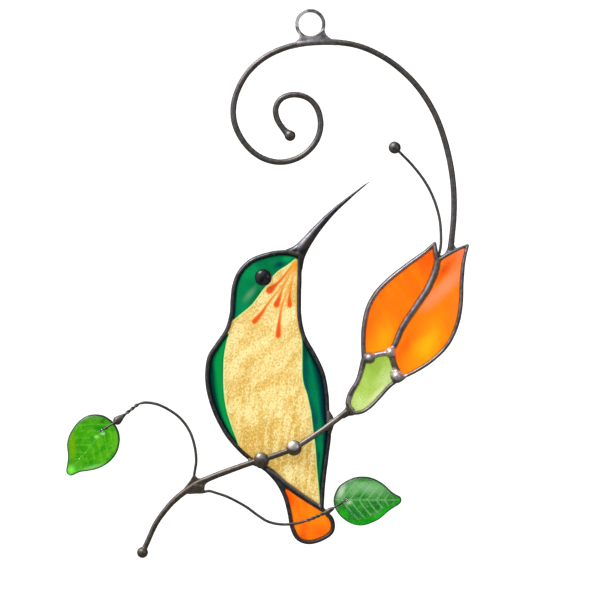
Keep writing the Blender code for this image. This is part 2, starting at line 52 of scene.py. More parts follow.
def step(tree, kind, feeds=None, **settings):
    """A shader node with its settings, each input fed by a socket or set to a value."""
    made = tree.nodes.new("ShaderNode" + kind)
    for name, value in settings.items():
        setattr(made, name, value)
    for socket, value in (feeds or {}).items():
        if isinstance(value, bpy.types.NodeSocket):
            tree.links.new(value, made.inputs[socket])
        else:
            made.inputs[socket].default_value = value
    return made


def share_of(tree, value, low, high, to_low=0.0, to_high=1.0):
    """A value's place between low and high, eased, as a number from to_low to to_high."""
    feeds = {"Value": value, 1: low, 2: high, 3: to_low, 4: to_high}
    return step(tree, "MapRange", feeds, interpolation_type="SMOOTHSTEP").outputs["Result"]


def tinted(tree, share, first, second):
    """The first colour turned into the second by the share."""
    pair = [(*value, 1) if isinstance(value, tuple) else value for value in (first, second)]
    return step(tree, "Mix", {0: share, 6: pair[0], 7: pair[1]}, data_type="RGBA").outputs[2]


def maths(tree, operation, *values):
    return step(tree, "Math", dict(enumerate(values)), operation=operation).outputs[0]


def new_finish(name, **plain):
    """A material whose shader's plain values are set, and its node tree and shader."""
    made = bpy.data.materials.new(name)
    made.use_nodes = True
    shader = made.node_tree.nodes["Principled BSDF"]
    for socket, value in plain.items():
        shader.inputs[socket.replace("_", " ")].default_value = value
    return made, made.node_tree, shader


def piece(name, shape):
    """The bmesh as a new object, with its faces turned outwards."""
    bmesh.ops.recalc_face_normals(shape, faces=shape.faces)
    data = bpy.data.meshes.new(name)
    shape.to_mesh(data)
    shape.free()
    made = bpy.data.objects.new(name, data)
    bpy.context.scene.collection.objects.link(made)
    return made


room = bpy.data.worlds.new("white_room")
bpy.context.scene.world = room
room.use_nodes = True
air = room.node_tree
air.nodes.clear()
ray = step(air, "LightPath").outputs
heading = step(air, "TexCoord").outputs["Generated"]
to_window = step(air, "VectorMath", {0: heading, 1: (-0.68, -0.20, 0.70)}, operation="DOT_PRODUCT")
window = share_of(air, to_window.outputs["Value"], 0.22, 1.0, 0.035, 1.25)
height = step(air, "SeparateXYZ", {0: heading}).outputs["Z"]
below = share_of(air, height, -0.05, -0.7, 0.0, 0.12)
tone = tinted(air, share_of(air, height, -0.2, 0.3), (0.95, 0.80, 0.48), (0.90, 0.89, 0.96))
wall = step(air, "Background", {"Color": (1, 1, 1, 1), "Strength": 1.24}).outputs[0]
dim = step(air, "Background", {"Color": tone, "Strength": maths(air, "ADD", window, below)}).outputs[0]
mirrored = step(
    air, "Math", {0: ray["Is Glossy Ray"], 1: ray["Is Transmission Ray"]},
    operation="SUBTRACT", use_clamp=True,
).outputs[0]
seen = step(air, "MixShader", {0: mirrored, 1: wall, 2: dim}).outputs[0]
step(air, "OutputWorld", {"Surface": seen})

shape = bmesh.new()
bmesh.ops.create_circle(shape, cap_ends=True, segments=96, radius=FLOOR_RADIUS)
bmesh.ops.translate(shape, verts=shape.verts, vec=(0, 0, FLOOR_LEVEL))
floor = piece("floor", shape)
floor.visible_glossy = False
floor.data.materials.append(new_finish("pale_floor", Base_Color=(0.86, 0.86, 0.86, 1), Roughness=0.9)[0])


def lamp(name, place, width, power, colour):
    data = bpy.data.lights.new(name, "AREA")
    data.shape = "DISK"
    data.size = width
    data.energy = power
    data.color = colour
    made = bpy.data.objects.new(name, data)
    made.location = place
    made.rotation_mode = "QUATERNION"
    made.rotation_quaternion = (HANGING_MIDDLE - Vector(place)).to_track_quat("-Z", "Y")
    made.visible_camera = False
    bpy.context.scene.collection.objects.link(made)


lamp("key", (-0.8, -0.6, 1.1), 0.5, 20.0, (1.0, 0.98, 0.96))
lamp("fill", (0.9, -1.0, 0.1), 0.6, 2.0, (0.92, 0.95, 1.0))
lamp("back", (0.3, 1.1, 0.6), 0.6, 6.0, (1.0, 1.0, 1.0))

eye = bpy.data.objects.new("eye", bpy.data.cameras.new("eye"))
eye.data.lens = 160
eye.data.sensor_width = 36
eye.data.clip_start = 0.01
eye.location = (EYE_X, -EYE_DISTANCE, EYE_Z)
eye.rotation_euler = (math.pi / 2, 0, 0)
bpy.context.scene.collection.objects.link(eye)
bpy.context.scene.camera = eye
bpy.context.scene.view_settings.view_transform = "Standard"


# The bird's body is one pane of 3 mm glass, textured and stained pale gold on the breast, with the head
# and the two wings painted emerald and five drops of orange at the throat. Its edge is inside the solder.
GLASS = 0.003
ROLLER_MARK = 0.006
SQUARE = 0.00045
HOOK_ACROSS = 310.3
HOOK_DOWN = 12.2
BACK_LINE = [
    (299.5, 255), (284, 252.3), (267, 254.8), (251.3, 260.8), (240.4, 271.4), (234.6, 285.2),
    (232.8, 300), (231.8, 314), (227.2, 330), (217.6, 344.6), (210, 356.5), (207.4, 373),
    (208.9, 391), (215, 411.2), (226.7, 433.6), (241.5, 451), (256, 463),
]
TAIL_SEAM = [(256, 463), (269, 469.5), (284, 482.5), (301, 495), (321.5, 508.5)]
BREAST_LINE = [
    (321.5, 508.5), (323, 484), (326.3, 457), (329, 432), (327.3, 412), (326.2, 393), (322, 372),
    (312.8, 353), (303.6, 336.5), (299.4, 318), (298.9, 298), (299.4, 276), (299.5, 255),
]
TAIL_LINE = [
    (256, 463), (266.3, 469.6), (277, 481), (285.2, 496), (289.6, 512), (292.4, 527), (298, 538),
    (308, 541.9), (321, 539), (331.5, 531.5), (332, 520.5), (321.5, 508.5),
]
HEAD_PAINT = [
    (232.4, 321.5), (235, 319.2), (241.3, 313.9), (251.7, 305.2), (258, 297.2), (262.8, 290.4),
    (267.6, 284.4), (272.4, 277.2), (278.8, 270.9), (286.7, 265.8), (295.5, 259),
]
LEFT_WING_PAINT = [
    (222, 331), (229, 334), (227.2, 340), (225.4, 348.9), (224.1, 357.9), (223.7, 366.8), (223.7, 384.6),
    (224.3, 393.6), (225.4, 402.5), (227.2, 411.4), (229.9, 420.4), (232.9, 429.3), (236.4, 438.2),
    (239.7, 447.1), (243.5, 458),
]
RIGHT_WING_PAINT = [
    (306, 325), (300.9, 334), (301.8, 341), (302, 357.9), (302.2, 375.7), (303.6, 384.6), (306.7, 393.6),
    (308.7, 402.5), (310.7, 411.4), (311.8, 420.4), (312.9, 429.3), (315.2, 447.1), (316.3, 465),
    (317.7, 480), (319, 495), (320.3, 512),
]
LEFT_WING_TOP = 331
RIGHT_WING_TOP = 325
BREAST_MIDDLE = 285
OUTSIDE = -9.0
# Each throat drop has its swell, where along itself its colour starts, and its line
THROAT_DROPS = [
    (3.3, 0.45, [(294.7, 262.9), (290, 268.5), (281.2, 279.6), (269.6, 290.4)]),
    (3.1, 0.0, [
        (295, 263.5), (291.5, 270.9), (286.7, 280.4), (282.8, 287.6), (279.6, 297.2), (276.4, 304.8),
    ]),
    (2.5, 0.0, [
        (295.8, 264), (294.7, 266.9), (293.1, 276.5), (291.5, 284.4), (289.6, 295.6), (289.6, 305.3),
    ]),
    (2.7, 0.0, [
        (294, 263.5), (286, 280), (278, 291), (266.8, 305.2), (262.8, 311.5), (258, 317.5), (254.3, 321.5),
    ]),
    (2.7, 0.0, [
        (296, 265), (291, 281), (284.4, 298.8), (282, 305.2), (280, 316.3), (278.9, 325), (278.2, 335.6),
    ]),
]


def at(across, down, depth=0.0):
    """The place in the hanging of a point on the squared pattern, drawn as the eye sees it at that depth."""
    nearer = 1 + depth / EYE_DISTANCE
    x, z = (across - HOOK_ACROSS) * SQUARE, (HOOK_DOWN - down) * SQUARE
    return Vector((EYE_X + (x - EYE_X) * nearer, depth, EYE_Z + (z - EYE_Z) * nearer))


def flow(knots, parts=5):
    """The smooth line through knots of any size, a centripetal spline with each span cut in parts."""
    knots = [Vector(knot) for knot in knots]
    chain = [knots[0] * 2 - knots[1], *knots, knots[-1] * 2 - knots[-2]]
    line = [knots[0].copy()]
    for p0, p1, p2, p3 in zip(chain, chain[1:], chain[2:], chain[3:]):
        t1 = (p1 - p0).length ** 0.5
        t2 = t1 + (p2 - p1).length ** 0.5
        t3 = t2 + (p3 - p2).length ** 0.5
        for part in range(1, parts + 1):
            t = t1 + (t2 - t1) * part / parts
            a1 = p0.lerp(p1, t / t1)
            a2 = p1.lerp(p2, (t - t1) / (t2 - t1))
            a3 = p2.lerp(p3, (t - t2) / (t3 - t2))
            b1 = a1.lerp(a2, t / t2)
            b2 = a2.lerp(a3, (t - t1) / (t3 - t1))
            line.append(b1.lerp(b2, (t - t1) / (t2 - t1)))
    return line


def settled(obj):
    """The object with its modifiers worked into its mesh, shaded smooth."""
    graph = bpy.context.evaluated_depsgraph_get()
    data = bpy.data.meshes.new_from_object(obj.evaluated_get(graph))
    obj.modifiers.clear()
    obj.data = data
    data.name = obj.name
    data.shade_smooth()


def cut_pane(name, strokes, thickness=GLASS, cell=0.0006, ripple=0.00004, depth=0.0, bore=None):
    """A pane cut to the closed line that strokes make, its faces gently rippled as rolled glass is.

    A bore is the (across, down, radius) of a hole drilled through, in squares.
    """
    outline = [point for stroke in strokes for point in flow(stroke)[:-1]]
    shape = bmesh.new()
    rim = [shape.verts.new(at(*point, depth - thickness / 2)) for point in outline]
    front = shape.faces.new(rim)
    made = bmesh.ops.extrude_face_region(shape, geom=[front])
    back = [item for item in made["geom"] if isinstance(item, bmesh.types.BMVert)]
    bmesh.ops.translate(shape, verts=back, vec=(0, thickness, 0))
    pane = piece(name, shape)
    if bore:
        drill = bmesh.new()
        bmesh.ops.create_cone(
            drill, cap_ends=True, segments=32, radius1=bore[2] * SQUARE, radius2=bore[2] * SQUARE, depth=0.02,
            matrix=Matrix.Translation(at(bore[0], bore[1], depth)) @ Matrix.Rotation(math.pi / 2, 4, "X"),
        )
        bit = piece("bit", drill)
        hole = pane.modifiers.new("Hole", "BOOLEAN")
        hole.operation = "DIFFERENCE"
        hole.object = bit
        settled(pane)
        bpy.data.objects.remove(bit, do_unlink=True)
    melt = pane.modifiers.new("Melt", "REMESH")
    melt.mode = "VOXEL"
    melt.voxel_size = cell
    settled(pane)
    moved = []
    for vert in pane.data.vertices:
        x, y, z = vert.co
        moved.extend((x, y + ripple * noise.noise((x / ROLLER_MARK, 0, z / ROLLER_MARK)), z))
    pane.data.vertices.foreach_set("co", moved)
    pane.data.update()
    return pane


def spread(obj, depth=0.0):
    """The places of a mesh's points on the squared pattern, as an array of (across, down)."""
    nearer = 1 + depth / EYE_DISTANCE
    flat = np.empty(len(obj.data.vertices) * 3)
    obj.data.vertices.foreach_get("co", flat)
    flat = flat.reshape(-1, 3)
    x, z = EYE_X + (flat[:, 0] - EYE_X) / nearer, EYE_Z + (flat[:, 2] - EYE_Z) / nearer
    return np.column_stack((x / SQUARE + HOOK_ACROSS, HOOK_DOWN - z / SQUARE))


def away_from(points, line):
    """How far each point is from the line, in squares, and how far along the line it is, from 0 to 1."""
    line = np.array(line, float)
    least = np.full(len(points), 1e9)
    share = np.zeros(len(points))
    runs = np.linalg.norm(np.diff(line, axis=0), axis=1)
    starts = np.concatenate(([0], np.cumsum(runs)[:-1]))
    for here, there, run, start in zip(line, line[1:], runs, starts):
        along = (there - here) / max(run, 1e-9)
        reach = np.clip((points - here) @ along, 0, run)
        gap = np.linalg.norm(points - here - reach[:, None] * along, axis=1)
        closer = gap < least
        least = np.where(closer, gap, least)
        share = np.where(closer, (start + reach) / runs.sum(), share)
    return least, share


def note(obj, name, values):
    """Keeps one number for each point of the mesh, for the material to read."""
    kept = obj.data.attributes.new(name, "FLOAT", "POINT")
    kept.data.foreach_set("value", np.asarray(values, np.float32))


def flat_line(knots):
    return np.array(flow(knots), float)


body = cut_pane("bird_body", [BACK_LINE, TAIL_SEAM, BREAST_LINE], cell=0.00045, ripple=0.00005)
places = spread(body)
across, down = places.T
head, left_wing, right_wing = (flat_line(line) for line in (HEAD_PAINT, LEFT_WING_PAINT, RIGHT_WING_PAINT))
head_side = np.interp(across, *head.T) - down
left_side = np.interp(down, *left_wing.T[::-1]) - across
right_side = across - np.interp(down, *right_wing.T[::-1])
left_side = np.where(down < LEFT_WING_TOP, OUTSIDE, left_side)
right_side = np.where(down < RIGHT_WING_TOP, OUTSIDE, right_side)
painted = [
    np.sign(side) * away_from(places, line)[0]
    for side, line in ((head_side, head), (left_side, left_wing), (right_side, right_wing))
]
rim_gaps = [away_from(places, flat_line(line))[0] for line in (BACK_LINE, TAIL_SEAM, BREAST_LINE)]
drop = np.full(len(places), OUTSIDE)
drop_end = np.zeros(len(places))
for swell, start, line in THROAT_DROPS:
    gap, share = away_from(places, flat_line(line))
    neck = 0.5 + 0.5 * np.clip(share / 0.6, 0, 1)
    bulb = (swell - 1.0) * np.clip((share - 0.66) / 0.3, 0, 1) ** 1.5
    inside = neck + bulb - gap + start * 0.8
    drop_end = np.where(inside > drop, start + (1 - start) * share, drop_end)
    drop = np.maximum(drop, inside)
note(body, "painted", np.max(painted, axis=0))
note(body, "from_rim", np.min(rim_gaps, axis=0))
note(body, "drop", drop)
note(body, "drop_end", drop_end)
note(body, "left_wing", (across < BREAST_MIDDLE) & (down > LEFT_WING_TOP - 4))
note(body, "right_wing", (across > BREAST_MIDDLE) & (down > RIGHT_WING_TOP - 3))
note(body, "down", down)


def kept(tree, name):
    return step(tree, "Attribute", attribute_name=name).outputs["Fac"]


def cloud(tree, place, scale, detail=3.0, rough=0.55, twist=0.0):
    feeds = {"Vector": place, "Scale": scale, "Detail": detail, "Roughness": rough, "Distortion": twist}
    return step(tree, "TexNoise", feeds).outputs["Fac"]


def stretched(tree, factor=(1, 1, 1), turn=0.0):
    """Object coordinates turned about Y and stretched, so that a pattern runs along the glass."""
    spot = step(tree, "TexCoord").outputs["Object"]
    grown = tuple(1 / share for share in factor)
    feeds = {"Vector": spot, "Rotation": (0, turn, 0), "Scale": grown}
    return step(tree, "Mapping", feeds, vector_type="TEXTURE").outputs["Vector"]


def shared(name, inputs, outputs):
    """A node group, with the sockets of its inputs and outputs by name."""
    group = bpy.data.node_groups.new(name, "ShaderNodeTree")
    for socket, kind, value in inputs:
        made = group.interface.new_socket(name=socket, in_out="INPUT", socket_type="NodeSocket" + kind)
        made.default_value = value
    for socket, kind in outputs:
        group.interface.new_socket(name=socket, in_out="OUTPUT", socket_type="NodeSocket" + kind)
    return group, group.nodes.new("NodeGroupInput").outputs, group.nodes.new("NodeGroupOutput").inputs


# A soft patch of light or colour in the glass, round a point, stretched and turned, with a wavering edge
WAVER = 0.5
patch_group, given, put = shared(
    "patch",
    [
        ("Centre", "Vector", (0, 0, 0)), ("Turn", "Float", 0.0), ("Size", "Vector", (1, 1, 1)),
        ("Strength", "Float", 1.0),
    ],
    [("Mask", "Float")],
)
spot = step(patch_group, "TexCoord").outputs["Object"]
turned = step(
    patch_group, "VectorRotate", {"Vector": spot, "Center": given["Centre"], "Angle": given["Turn"]},
    rotation_type="Y_AXIS",
).outputs[0]
waver = step(patch_group, "TexNoise", {"Vector": spot, "Scale": 160.0, "Detail": 2.0}).outputs["Color"]
waver = step(patch_group, "VectorMath", {0: waver, 1: (0.5, 0.5, 0.5)}, operation="SUBTRACT").outputs[0]
waver = step(patch_group, "VectorMath", {0: waver, "Scale": WAVER}, operation="SCALE").outputs[0]
offset = turned
for operation, other in (
    ("SUBTRACT", given["Centre"]), ("DIVIDE", given["Size"]), ("ADD", waver), ("MULTIPLY", (1, 0, 1)),
):
    offset = step(patch_group, "VectorMath", {0: offset, 1: other}, operation=operation).outputs[0]
reach = step(patch_group, "VectorMath", {0: offset}, operation="LENGTH").outputs["Value"]
patch_group.links.new(share_of(patch_group, reach, 1.15, 0.0, 0.0, given["Strength"]), put["Mask"])


def dappled(tree, colour, patches, depth=0.0):
    """The colour under patches of (across, down, wide, tall, turn, tint, strength)."""
    for across, down, wide, tall, turn, tint, strength in patches:
        feeds = {
            "Centre": at(across, down, depth), "Turn": math.radians(-turn),
            "Size": (wide * SQUARE, 1, tall * SQUARE), "Strength": strength,
        }
        mask = step(tree, "Group", feeds, node_tree=patch_group).outputs["Mask"]
        colour = tinted(tree, mask, colour, tint)
    return colour


def layered(tree, colour, layers):
    """The colour under layers of (pattern, where it starts, where it is full, strength, tint)."""
    for pattern, start, full, strength, tint in layers:
        colour = tinted(tree, share_of(tree, pattern, start, full, 0.0, strength), colour, tint)
    return colour


def surfaced(tree, shader, colour, dull, height, strength, distance):
    """Joins the colour, the roughness and the relief that vary over a surface to its shader."""
    bump = step(tree, "Bump", {"Height": height, "Strength": strength, "Distance": distance}).outputs[0]
    for socket, value in (("Base Color", colour), ("Roughness", dull), ("Normal", bump)):
        tree.links.new(value, shader.inputs[socket])


paint, tree, shader = new_finish(
    "painted_glass", Roughness=0.28, IOR=1.38, Transmission_Weight=0.55, Specular_IOR_Level=0.1
)
fine = cloud(tree, stretched(tree, (1, 1, 0.75), 0.25), 1300.0, 3.0, 0.7)
grain = cloud(tree, stretched(tree, (1.2, 1, 0.7), 0.35), 460.0, 4.0, 0.7, 0.6)
blotch = cloud(tree, stretched(tree, (1.2, 1, 0.6), 0.35), 105.0, 3.0, 0.6, 0.8)
veil = cloud(tree, stretched(tree, (0.6, 1, 1.4), -0.8), 88.0, 2.0, 0.5, 0.6)
streak = cloud(tree, stretched(tree, (2.6, 1, 0.5), 0.12), 190.0, 2.0, 0.5, 0.2)
sweep = cloud(tree, stretched(tree, (1.0, 1, 0.35), -0.3), 110.0, 2.0, 0.5, 0.5)
blotch = step(tree, "Mix", {0: 0.5, 2: blotch, 3: grain}).outputs[0]
veil = step(tree, "Mix", {0: 0.2, 2: veil, 3: grain}).outputs[0]

low = share_of(tree, kept(tree, "down"), 320.0, 440.0)
rim_gap = kept(tree, "from_rim")
pale_gold = tinted(tree, low, (0.92, 0.77, 0.36), (0.91, 0.75, 0.30))
deep_gold = tinted(tree, low, (0.76, 0.54, 0.14), (0.70, 0.44, 0.07))
breast = layered(tree, pale_gold, [
    (blotch, 0.42, 0.60, 1.0, deep_gold),
    (veil, 0.49, 0.55, maths(tree, "MULTIPLY_ADD", low, 0.35, 0.6), (0.70, 0.42, 0.05)),
    (veil, 0.46, 0.39, 0.75, (0.94, 0.81, 0.38)),
    (streak, 0.51, 0.58, maths(tree, "MULTIPLY", low, 0.7), (0.60, 0.35, 0.03)),
    (streak, 0.46, 0.40, maths(tree, "MULTIPLY", low, 0.6), (0.93, 0.78, 0.34)),
    (fine, 0.52, 0.62, 0.85, (0.96, 0.85, 0.48)),
    (fine, 0.48, 0.38, 0.85, (0.46, 0.33, 0.08)),
    (rim_gap, 4.6, 2.4, 0.6, (0.80, 0.44, 0.05)),
])
breast = dappled(tree, breast, [(297, 266, 7, 12, 0, (0.86, 0.36, 0.01), 0.9)])

in_drop, end = kept(tree, "drop"), kept(tree, "drop_end")
orange = tinted(tree, share_of(tree, end, 0.35, 0.85), (0.76, 0.32, 0.0), (0.74, 0.085, 0.0))
orange = layered(tree, orange, [(in_drop, 1.6, 0.2, 0.5, (0.92, 0.28, 0.0))])
ragged = maths(tree, "MULTIPLY", maths(tree, "SUBTRACT", fine, 0.5), 3.0)
drop_mask = share_of(
    tree, maths(tree, "ADD", in_drop, ragged), -0.6, 0.6, 0.0, share_of(tree, end, 0.0, 0.6, 0.55, 1.0)
)
breast = tinted(tree, drop_mask, breast, orange)

in_paint = kept(tree, "painted")
both_gaps = maths(tree, "ADD", maths(tree, "ADD", in_paint, rim_gap), 0.01)
wavering = maths(tree, "MULTIPLY", maths(tree, "SUBTRACT", sweep, 0.5), 0.35)
across_paint = maths(tree, "ADD", maths(tree, "DIVIDE", in_paint, both_gaps), wavering)
green = tinted(tree, share_of(tree, sweep, 0.35, 0.65), (0.001, 0.165, 0.055), (0.001, 0.29, 0.095))
green = dappled(tree, green, [
    # The first patch is a painted highlight, a pale streak on the head below the eye.
    (250, 294, 4.6, 13, 40, (0.09, 0.32, 0.16), 0.9),
    (247, 271, 16, 9, 52, (0.001, 0.33, 0.09), 0.8),
    (279.8, 264.6, 4.6, 10, 58, (0.0, 0.05, 0.065), 0.95),
    (287, 258.6, 5, 9, 70, (0.001, 0.36, 0.10), 0.8),
    (262, 292, 5, 12, 40, (0.001, 0.11, 0.05), 0.6),
    (238, 309, 6, 14, 20, (0.001, 0.22, 0.11), 0.6),
])
left_green = layered(tree, (0.001, 0.30, 0.065), [
    (across_paint, 0.12, 0.0, 1.0, (0.001, 0.17, 0.03)),
    (across_paint, 0.36, 0.74, 1.0, (0.0, 0.04, 0.027)),
])
right_green = layered(tree, (0.0, 0.085, 0.075), [
    (across_paint, 0.25, 0.50, 1.0, (0.0, 0.19, 0.075)),
    (across_paint, 0.46, 0.76, 1.0, (0.0, 0.035, 0.042)),
])
right_green = dappled(tree, right_green, [
    (306, 350, 4, 13, -8, (0.0, 0.04, 0.03), 0.9),
    (314, 398, 5, 26, -14, (0.0, 0.22, 0.08), 0.85),
    (323, 410, 4, 24, -8, (0.0, 0.035, 0.06), 0.7),
    (311, 417, 3.5, 12, -8, (0.0, 0.06, 0.09), 0.9),
    (319, 430, 6, 12, 0, (0.0, 0.26, 0.09), 0.8),
    (319, 445, 4.5, 10, 0, (0.0, 0.30, 0.08), 0.8),
    (320, 480, 5, 30, 0, (0.0, 0.16, 0.05), 0.8),
])
green = tinted(tree, kept(tree, "left_wing"), green, left_green)
green = tinted(tree, kept(tree, "right_wing"), green, right_green)
green = layered(tree, green, [
    (rim_gap, 4.8, 2.2, 1.0, (0.0, 0.008, 0.012)),
    (in_paint, 1.9, 0.9, 0.6, (0.001, 0.15, 0.03)),
])
colour = layered(tree, breast, [(in_paint, -0.35, 0.35, 1.0, green)])
edge = share_of(tree, in_paint, -0.9, -0.1, 0.0, share_of(tree, in_paint, 0.7, 0.1, 0.0, 0.85))
colour = tinted(tree, edge, colour, (0.60, 0.86, 0.30))
dull = share_of(tree, in_paint, -0.3, 0.3, 0.5, 0.12)
crushed = maths(tree, "MULTIPLY", fine, share_of(tree, in_paint, -0.3, 0.3, 1.0, 0.08))
surfaced(tree, shader, colour, dull, crushed, 0.5, 0.0004)
body.data.materials.append(paint)
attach(body, "root")
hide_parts("bird_body_glass")


# The tail is a pane of streaky orange glass of its own, redder towards its two ends.
# Streaky sheet is rolled from two colours, so the streaks run one way and blur into each other.
def orange_glass(name, base, patches, streak_turn):
    """Streaky orange glass, its streaks turned from upright by a number of degrees."""
    made, tree, shader = new_finish(
        name, Roughness=0.2, IOR=1.4, Transmission_Weight=0.75, Specular_IOR_Level=0.2
    )
    streaks = cloud(tree, stretched(tree, (1.6, 1, 0.30), math.radians(-streak_turn)), 120.0, 4.0, 0.6, 0.8)
    mottle = cloud(tree, stretched(tree), 700.0, 3.0)
    colour = tinted(tree, share_of(tree, streaks, 0.40, 0.66), base, (1.0, 0.24, 0.0))
    colour = dappled(tree, colour, patches)
    colour = layered(tree, colour, [(mottle, 0.45, 0.75, 0.12, (1.0, 0.42, 0.0))])
    surfaced(tree, shader, colour, share_of(tree, mottle, 0.3, 0.7, 0.14, 0.26), streaks, 0.35, 0.0006)
    return made


tail = cut_pane("bird_tail", [TAIL_LINE, TAIL_SEAM[::-1]])
tail.data.materials.append(orange_glass(
    "tail_glass",
    (0.98, 0.15, 0.0),
    [
        (288, 497, 9, 16, -25, (0.90, 0.07, 0.0), 0.95),
        (316, 516, 18, 12, 20, (1.0, 0.27, 0.0), 0.9),
        (303, 536, 20, 7, -80, (0.88, 0.09, 0.0), 0.9),
        (324, 530, 10, 7, 0, (0.92, 0.14, 0.0), 0.6),
    ],
    streak_turn=20,
))
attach(tail, "root")
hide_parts("bird_tail_glass")


# The bird's solder is one mass of tin and lead run over the foiled edges, rounded on both faces, drawn out
# into the beak and filled where the tail narrows. It is brushed with a blackening patina.
def tube(shape, line, roundness, deep=1.0, plane=0.0):
    """Adds a round tube through (x, y, z, thickness), made deep times as deep and stood on the plane."""
    data = bpy.data.curves.new("tube", "CURVE")
    data.dimensions = "3D"
    data.bevel_depth = 0.5
    data.bevel_resolution = roundness
    data.use_fill_caps = True
    path = data.splines.new("POLY")
    path.points.add(len(line) - 1)
    for target, (x, y, z, thickness) in zip(path.points, line):
        target.co = (x, y, z, 1)
        target.radius = thickness
    rod = bpy.data.objects.new("tube", data)
    bpy.context.scene.collection.objects.link(rod)
    bpy.context.view_layer.update()
    mesh = bpy.data.meshes.new_from_object(rod.evaluated_get(bpy.context.evaluated_depsgraph_get()))
    mesh.transform(Matrix.Translation((0, plane, 0)) @ Matrix.Diagonal((1, deep, 1, 1)))
    shape.from_mesh(mesh)
    bpy.data.objects.remove(rod, do_unlink=True)
    bpy.data.curves.remove(data)
    bpy.data.meshes.remove(mesh)


def run_of_metal(shape, knots, widths, deep=1.0, plane=0.0):
    """Adds a run along the knots. Its widths are in squares, and it is deep times as deep as it is wide."""
    widths = widths if isinstance(widths, list) else [widths] * len(knots)
    line = []
    for across, down, width in flow([(*knot, width) for knot, width in zip(knots, widths)]):
        spot = at(across, down, plane)
        line.append((spot.x, 0, spot.z, width * SQUARE))
    tube(shape, line, roundness=4, deep=deep, plane=plane)


def drop_of_metal(shape, across, down, width, depth=None, plane=0.0, tall=None):
    """Adds a bead, width squares across. It is a ball, unless its depth in metres or its height is given."""
    made = bmesh.ops.create_uvsphere(shape, u_segments=24, v_segments=16, radius=0.5)
    size = (width * SQUARE, depth or width * SQUARE, (tall or width) * SQUARE)
    bmesh.ops.scale(shape, verts=made["verts"], vec=size)
    bmesh.ops.translate(shape, verts=made["verts"], vec=at(across, down, plane))


def web_of_metal(shape, outline, depth, plane=0.0):
    """Adds a flat web of metal inside a closed outline, depth metres deep."""
    rim = [shape.verts.new(at(*point, plane - depth / 2)) for point in flow(outline, 3)[:-1]]
    made = bmesh.ops.extrude_face_region(shape, geom=[shape.faces.new(rim)])
    back = [item for item in made["geom"] if isinstance(item, bmesh.types.BMVert)]
    bmesh.ops.translate(shape, verts=back, vec=(0, depth, 0))


def melted(name, shape, cell, passes=4, ripple=0.00006, ripple_size=0.004):
    """Melts loose runs and beads into one mass, lets it flow a little and leaves a hand's unevenness.

    The flow thins a wire by up to 0.4 mm, so the runs are drawn that much wider.
    """
    mass = piece(name, shape)
    melt = mass.modifiers.new("Melt", "REMESH")
    melt.mode = "VOXEL"
    melt.voxel_size = cell
    ease = mass.modifiers.new("Ease", "SMOOTH")
    ease.factor = 0.5
    ease.iterations = passes
    settled(mass)
    moved = []
    for vert in mass.data.vertices:
        moved.extend(vert.co + vert.normal * ripple * noise.noise(vert.co / ripple_size))
    mass.data.vertices.foreach_set("co", moved)
    mass.data.update()
    return mass


# Patina over solder: dark and satin, rubbed paler in fine spots, with a brown or violet cast in places
patina_group, given, put = shared(
    "patina",
    [(part, "Color", (0.1, 0.1, 0.1, 1)) for part in ("Dark", "Rubbed", "Cast")],
    [("Color", "Color"), ("Roughness", "Float"), ("Height", "Float")],
)
spot = step(patina_group, "TexCoord").outputs["Object"]
wide = cloud(patina_group, spot, 170.0, 2.0, 0.5, 0.4)
close = cloud(patina_group, spot, 620.0, 3.0, 0.5)
mixed = tinted(patina_group, share_of(patina_group, wide, 0.45, 0.65), given["Dark"], given["Cast"])
mixed = tinted(patina_group, share_of(patina_group, close, 0.30, 0.80), mixed, given["Rubbed"])
dull = share_of(patina_group, close, 0.3, 0.7, 0.38, 0.50)
raised = maths(patina_group, "MULTIPLY_ADD", close, 0.4, wide)
for socket, value in (("Color", mixed), ("Roughness", dull), ("Height", raised)):
    patina_group.links.new(value, put[socket])


def patina(name, dark, rubbed, cast, painted_highlight=None):
    """Blackened metal, with a painted highlight colour where the mesh's own numbers mark a highlight."""
    made, tree, shader = new_finish(name, Metallic=0.9)
    feeds = {"Dark": (*dark, 1), "Rubbed": (*rubbed, 1), "Cast": (*cast, 1)}
    black = step(tree, "Group", feeds, node_tree=patina_group).outputs
    # Painted highlight: the paler colour goes where the mesh notes a highlight.
    colour = tinted(tree, kept(tree, "painted_highlight"), black["Color"], painted_highlight) if painted_highlight else black["Color"]
    surfaced(tree, shader, colour, black["Roughness"], black["Height"], 0.12, 0.0002)
    return made


def paint_highlights(obj, plane, *spots):
    """Notes a painted highlight along each (line, reach, strength). It falls to nought two squares beyond the
    reach.
    """
    places = spread(obj, plane)
    painted_highlight = np.zeros(len(places))
    for line, reach, strength in spots:
        gap = away_from(places, line)[0]
        painted_highlight = np.maximum(painted_highlight, strength * np.clip((reach + 2 - gap) / 2, 0, 1))
    note(obj, "painted_highlight", painted_highlight)


RIM_WIDTH = 4.8
BEAK_LINE = [
    (299, 256), (302.4, 248), (309.2, 238.5), (317.9, 227.8), (331.6, 213.1), (350.8, 196.4),
    (364, 185.8), (369.3, 181.8),
]
shape = bmesh.new()
for line, widths, deep in (
    (BACK_LINE, RIM_WIDTH, 2.55),
    (BREAST_LINE, RIM_WIDTH, 2.55),
    (TAIL_LINE, RIM_WIDTH, 2.55),
    (TAIL_SEAM, [5.0, 6.4, 7.0, 7.0, 6.0], 1.7),
    ([(262, 467), (272.5, 474.8), (280.5, 483.6), (286, 490)], [2.5, 5, 6, 4], 1.6),
    ([(284, 252), (295.5, 249.2), (304, 240)], [3.6, 7.4, 4.4], 1.3),
    ([(300.6, 270), (301.6, 257), (309, 244)], [3.6, 6.6, 4.4], 1.4),
    (BEAK_LINE, [9.5, 12.4, 10.4, 8.0, 5.7, 3.2, 1.9, 1.0], 1.0),
):
    run_of_metal(shape, line, widths, deep)
web_of_metal(
    shape,
    [
        (280, 252), (287, 250.8), (293, 248.6), (297, 245), (301, 240.5), (306, 236), (307.5, 243),
        (304, 252), (300, 257), (292, 254.6), (280, 252),
    ],
    0.0036,
)
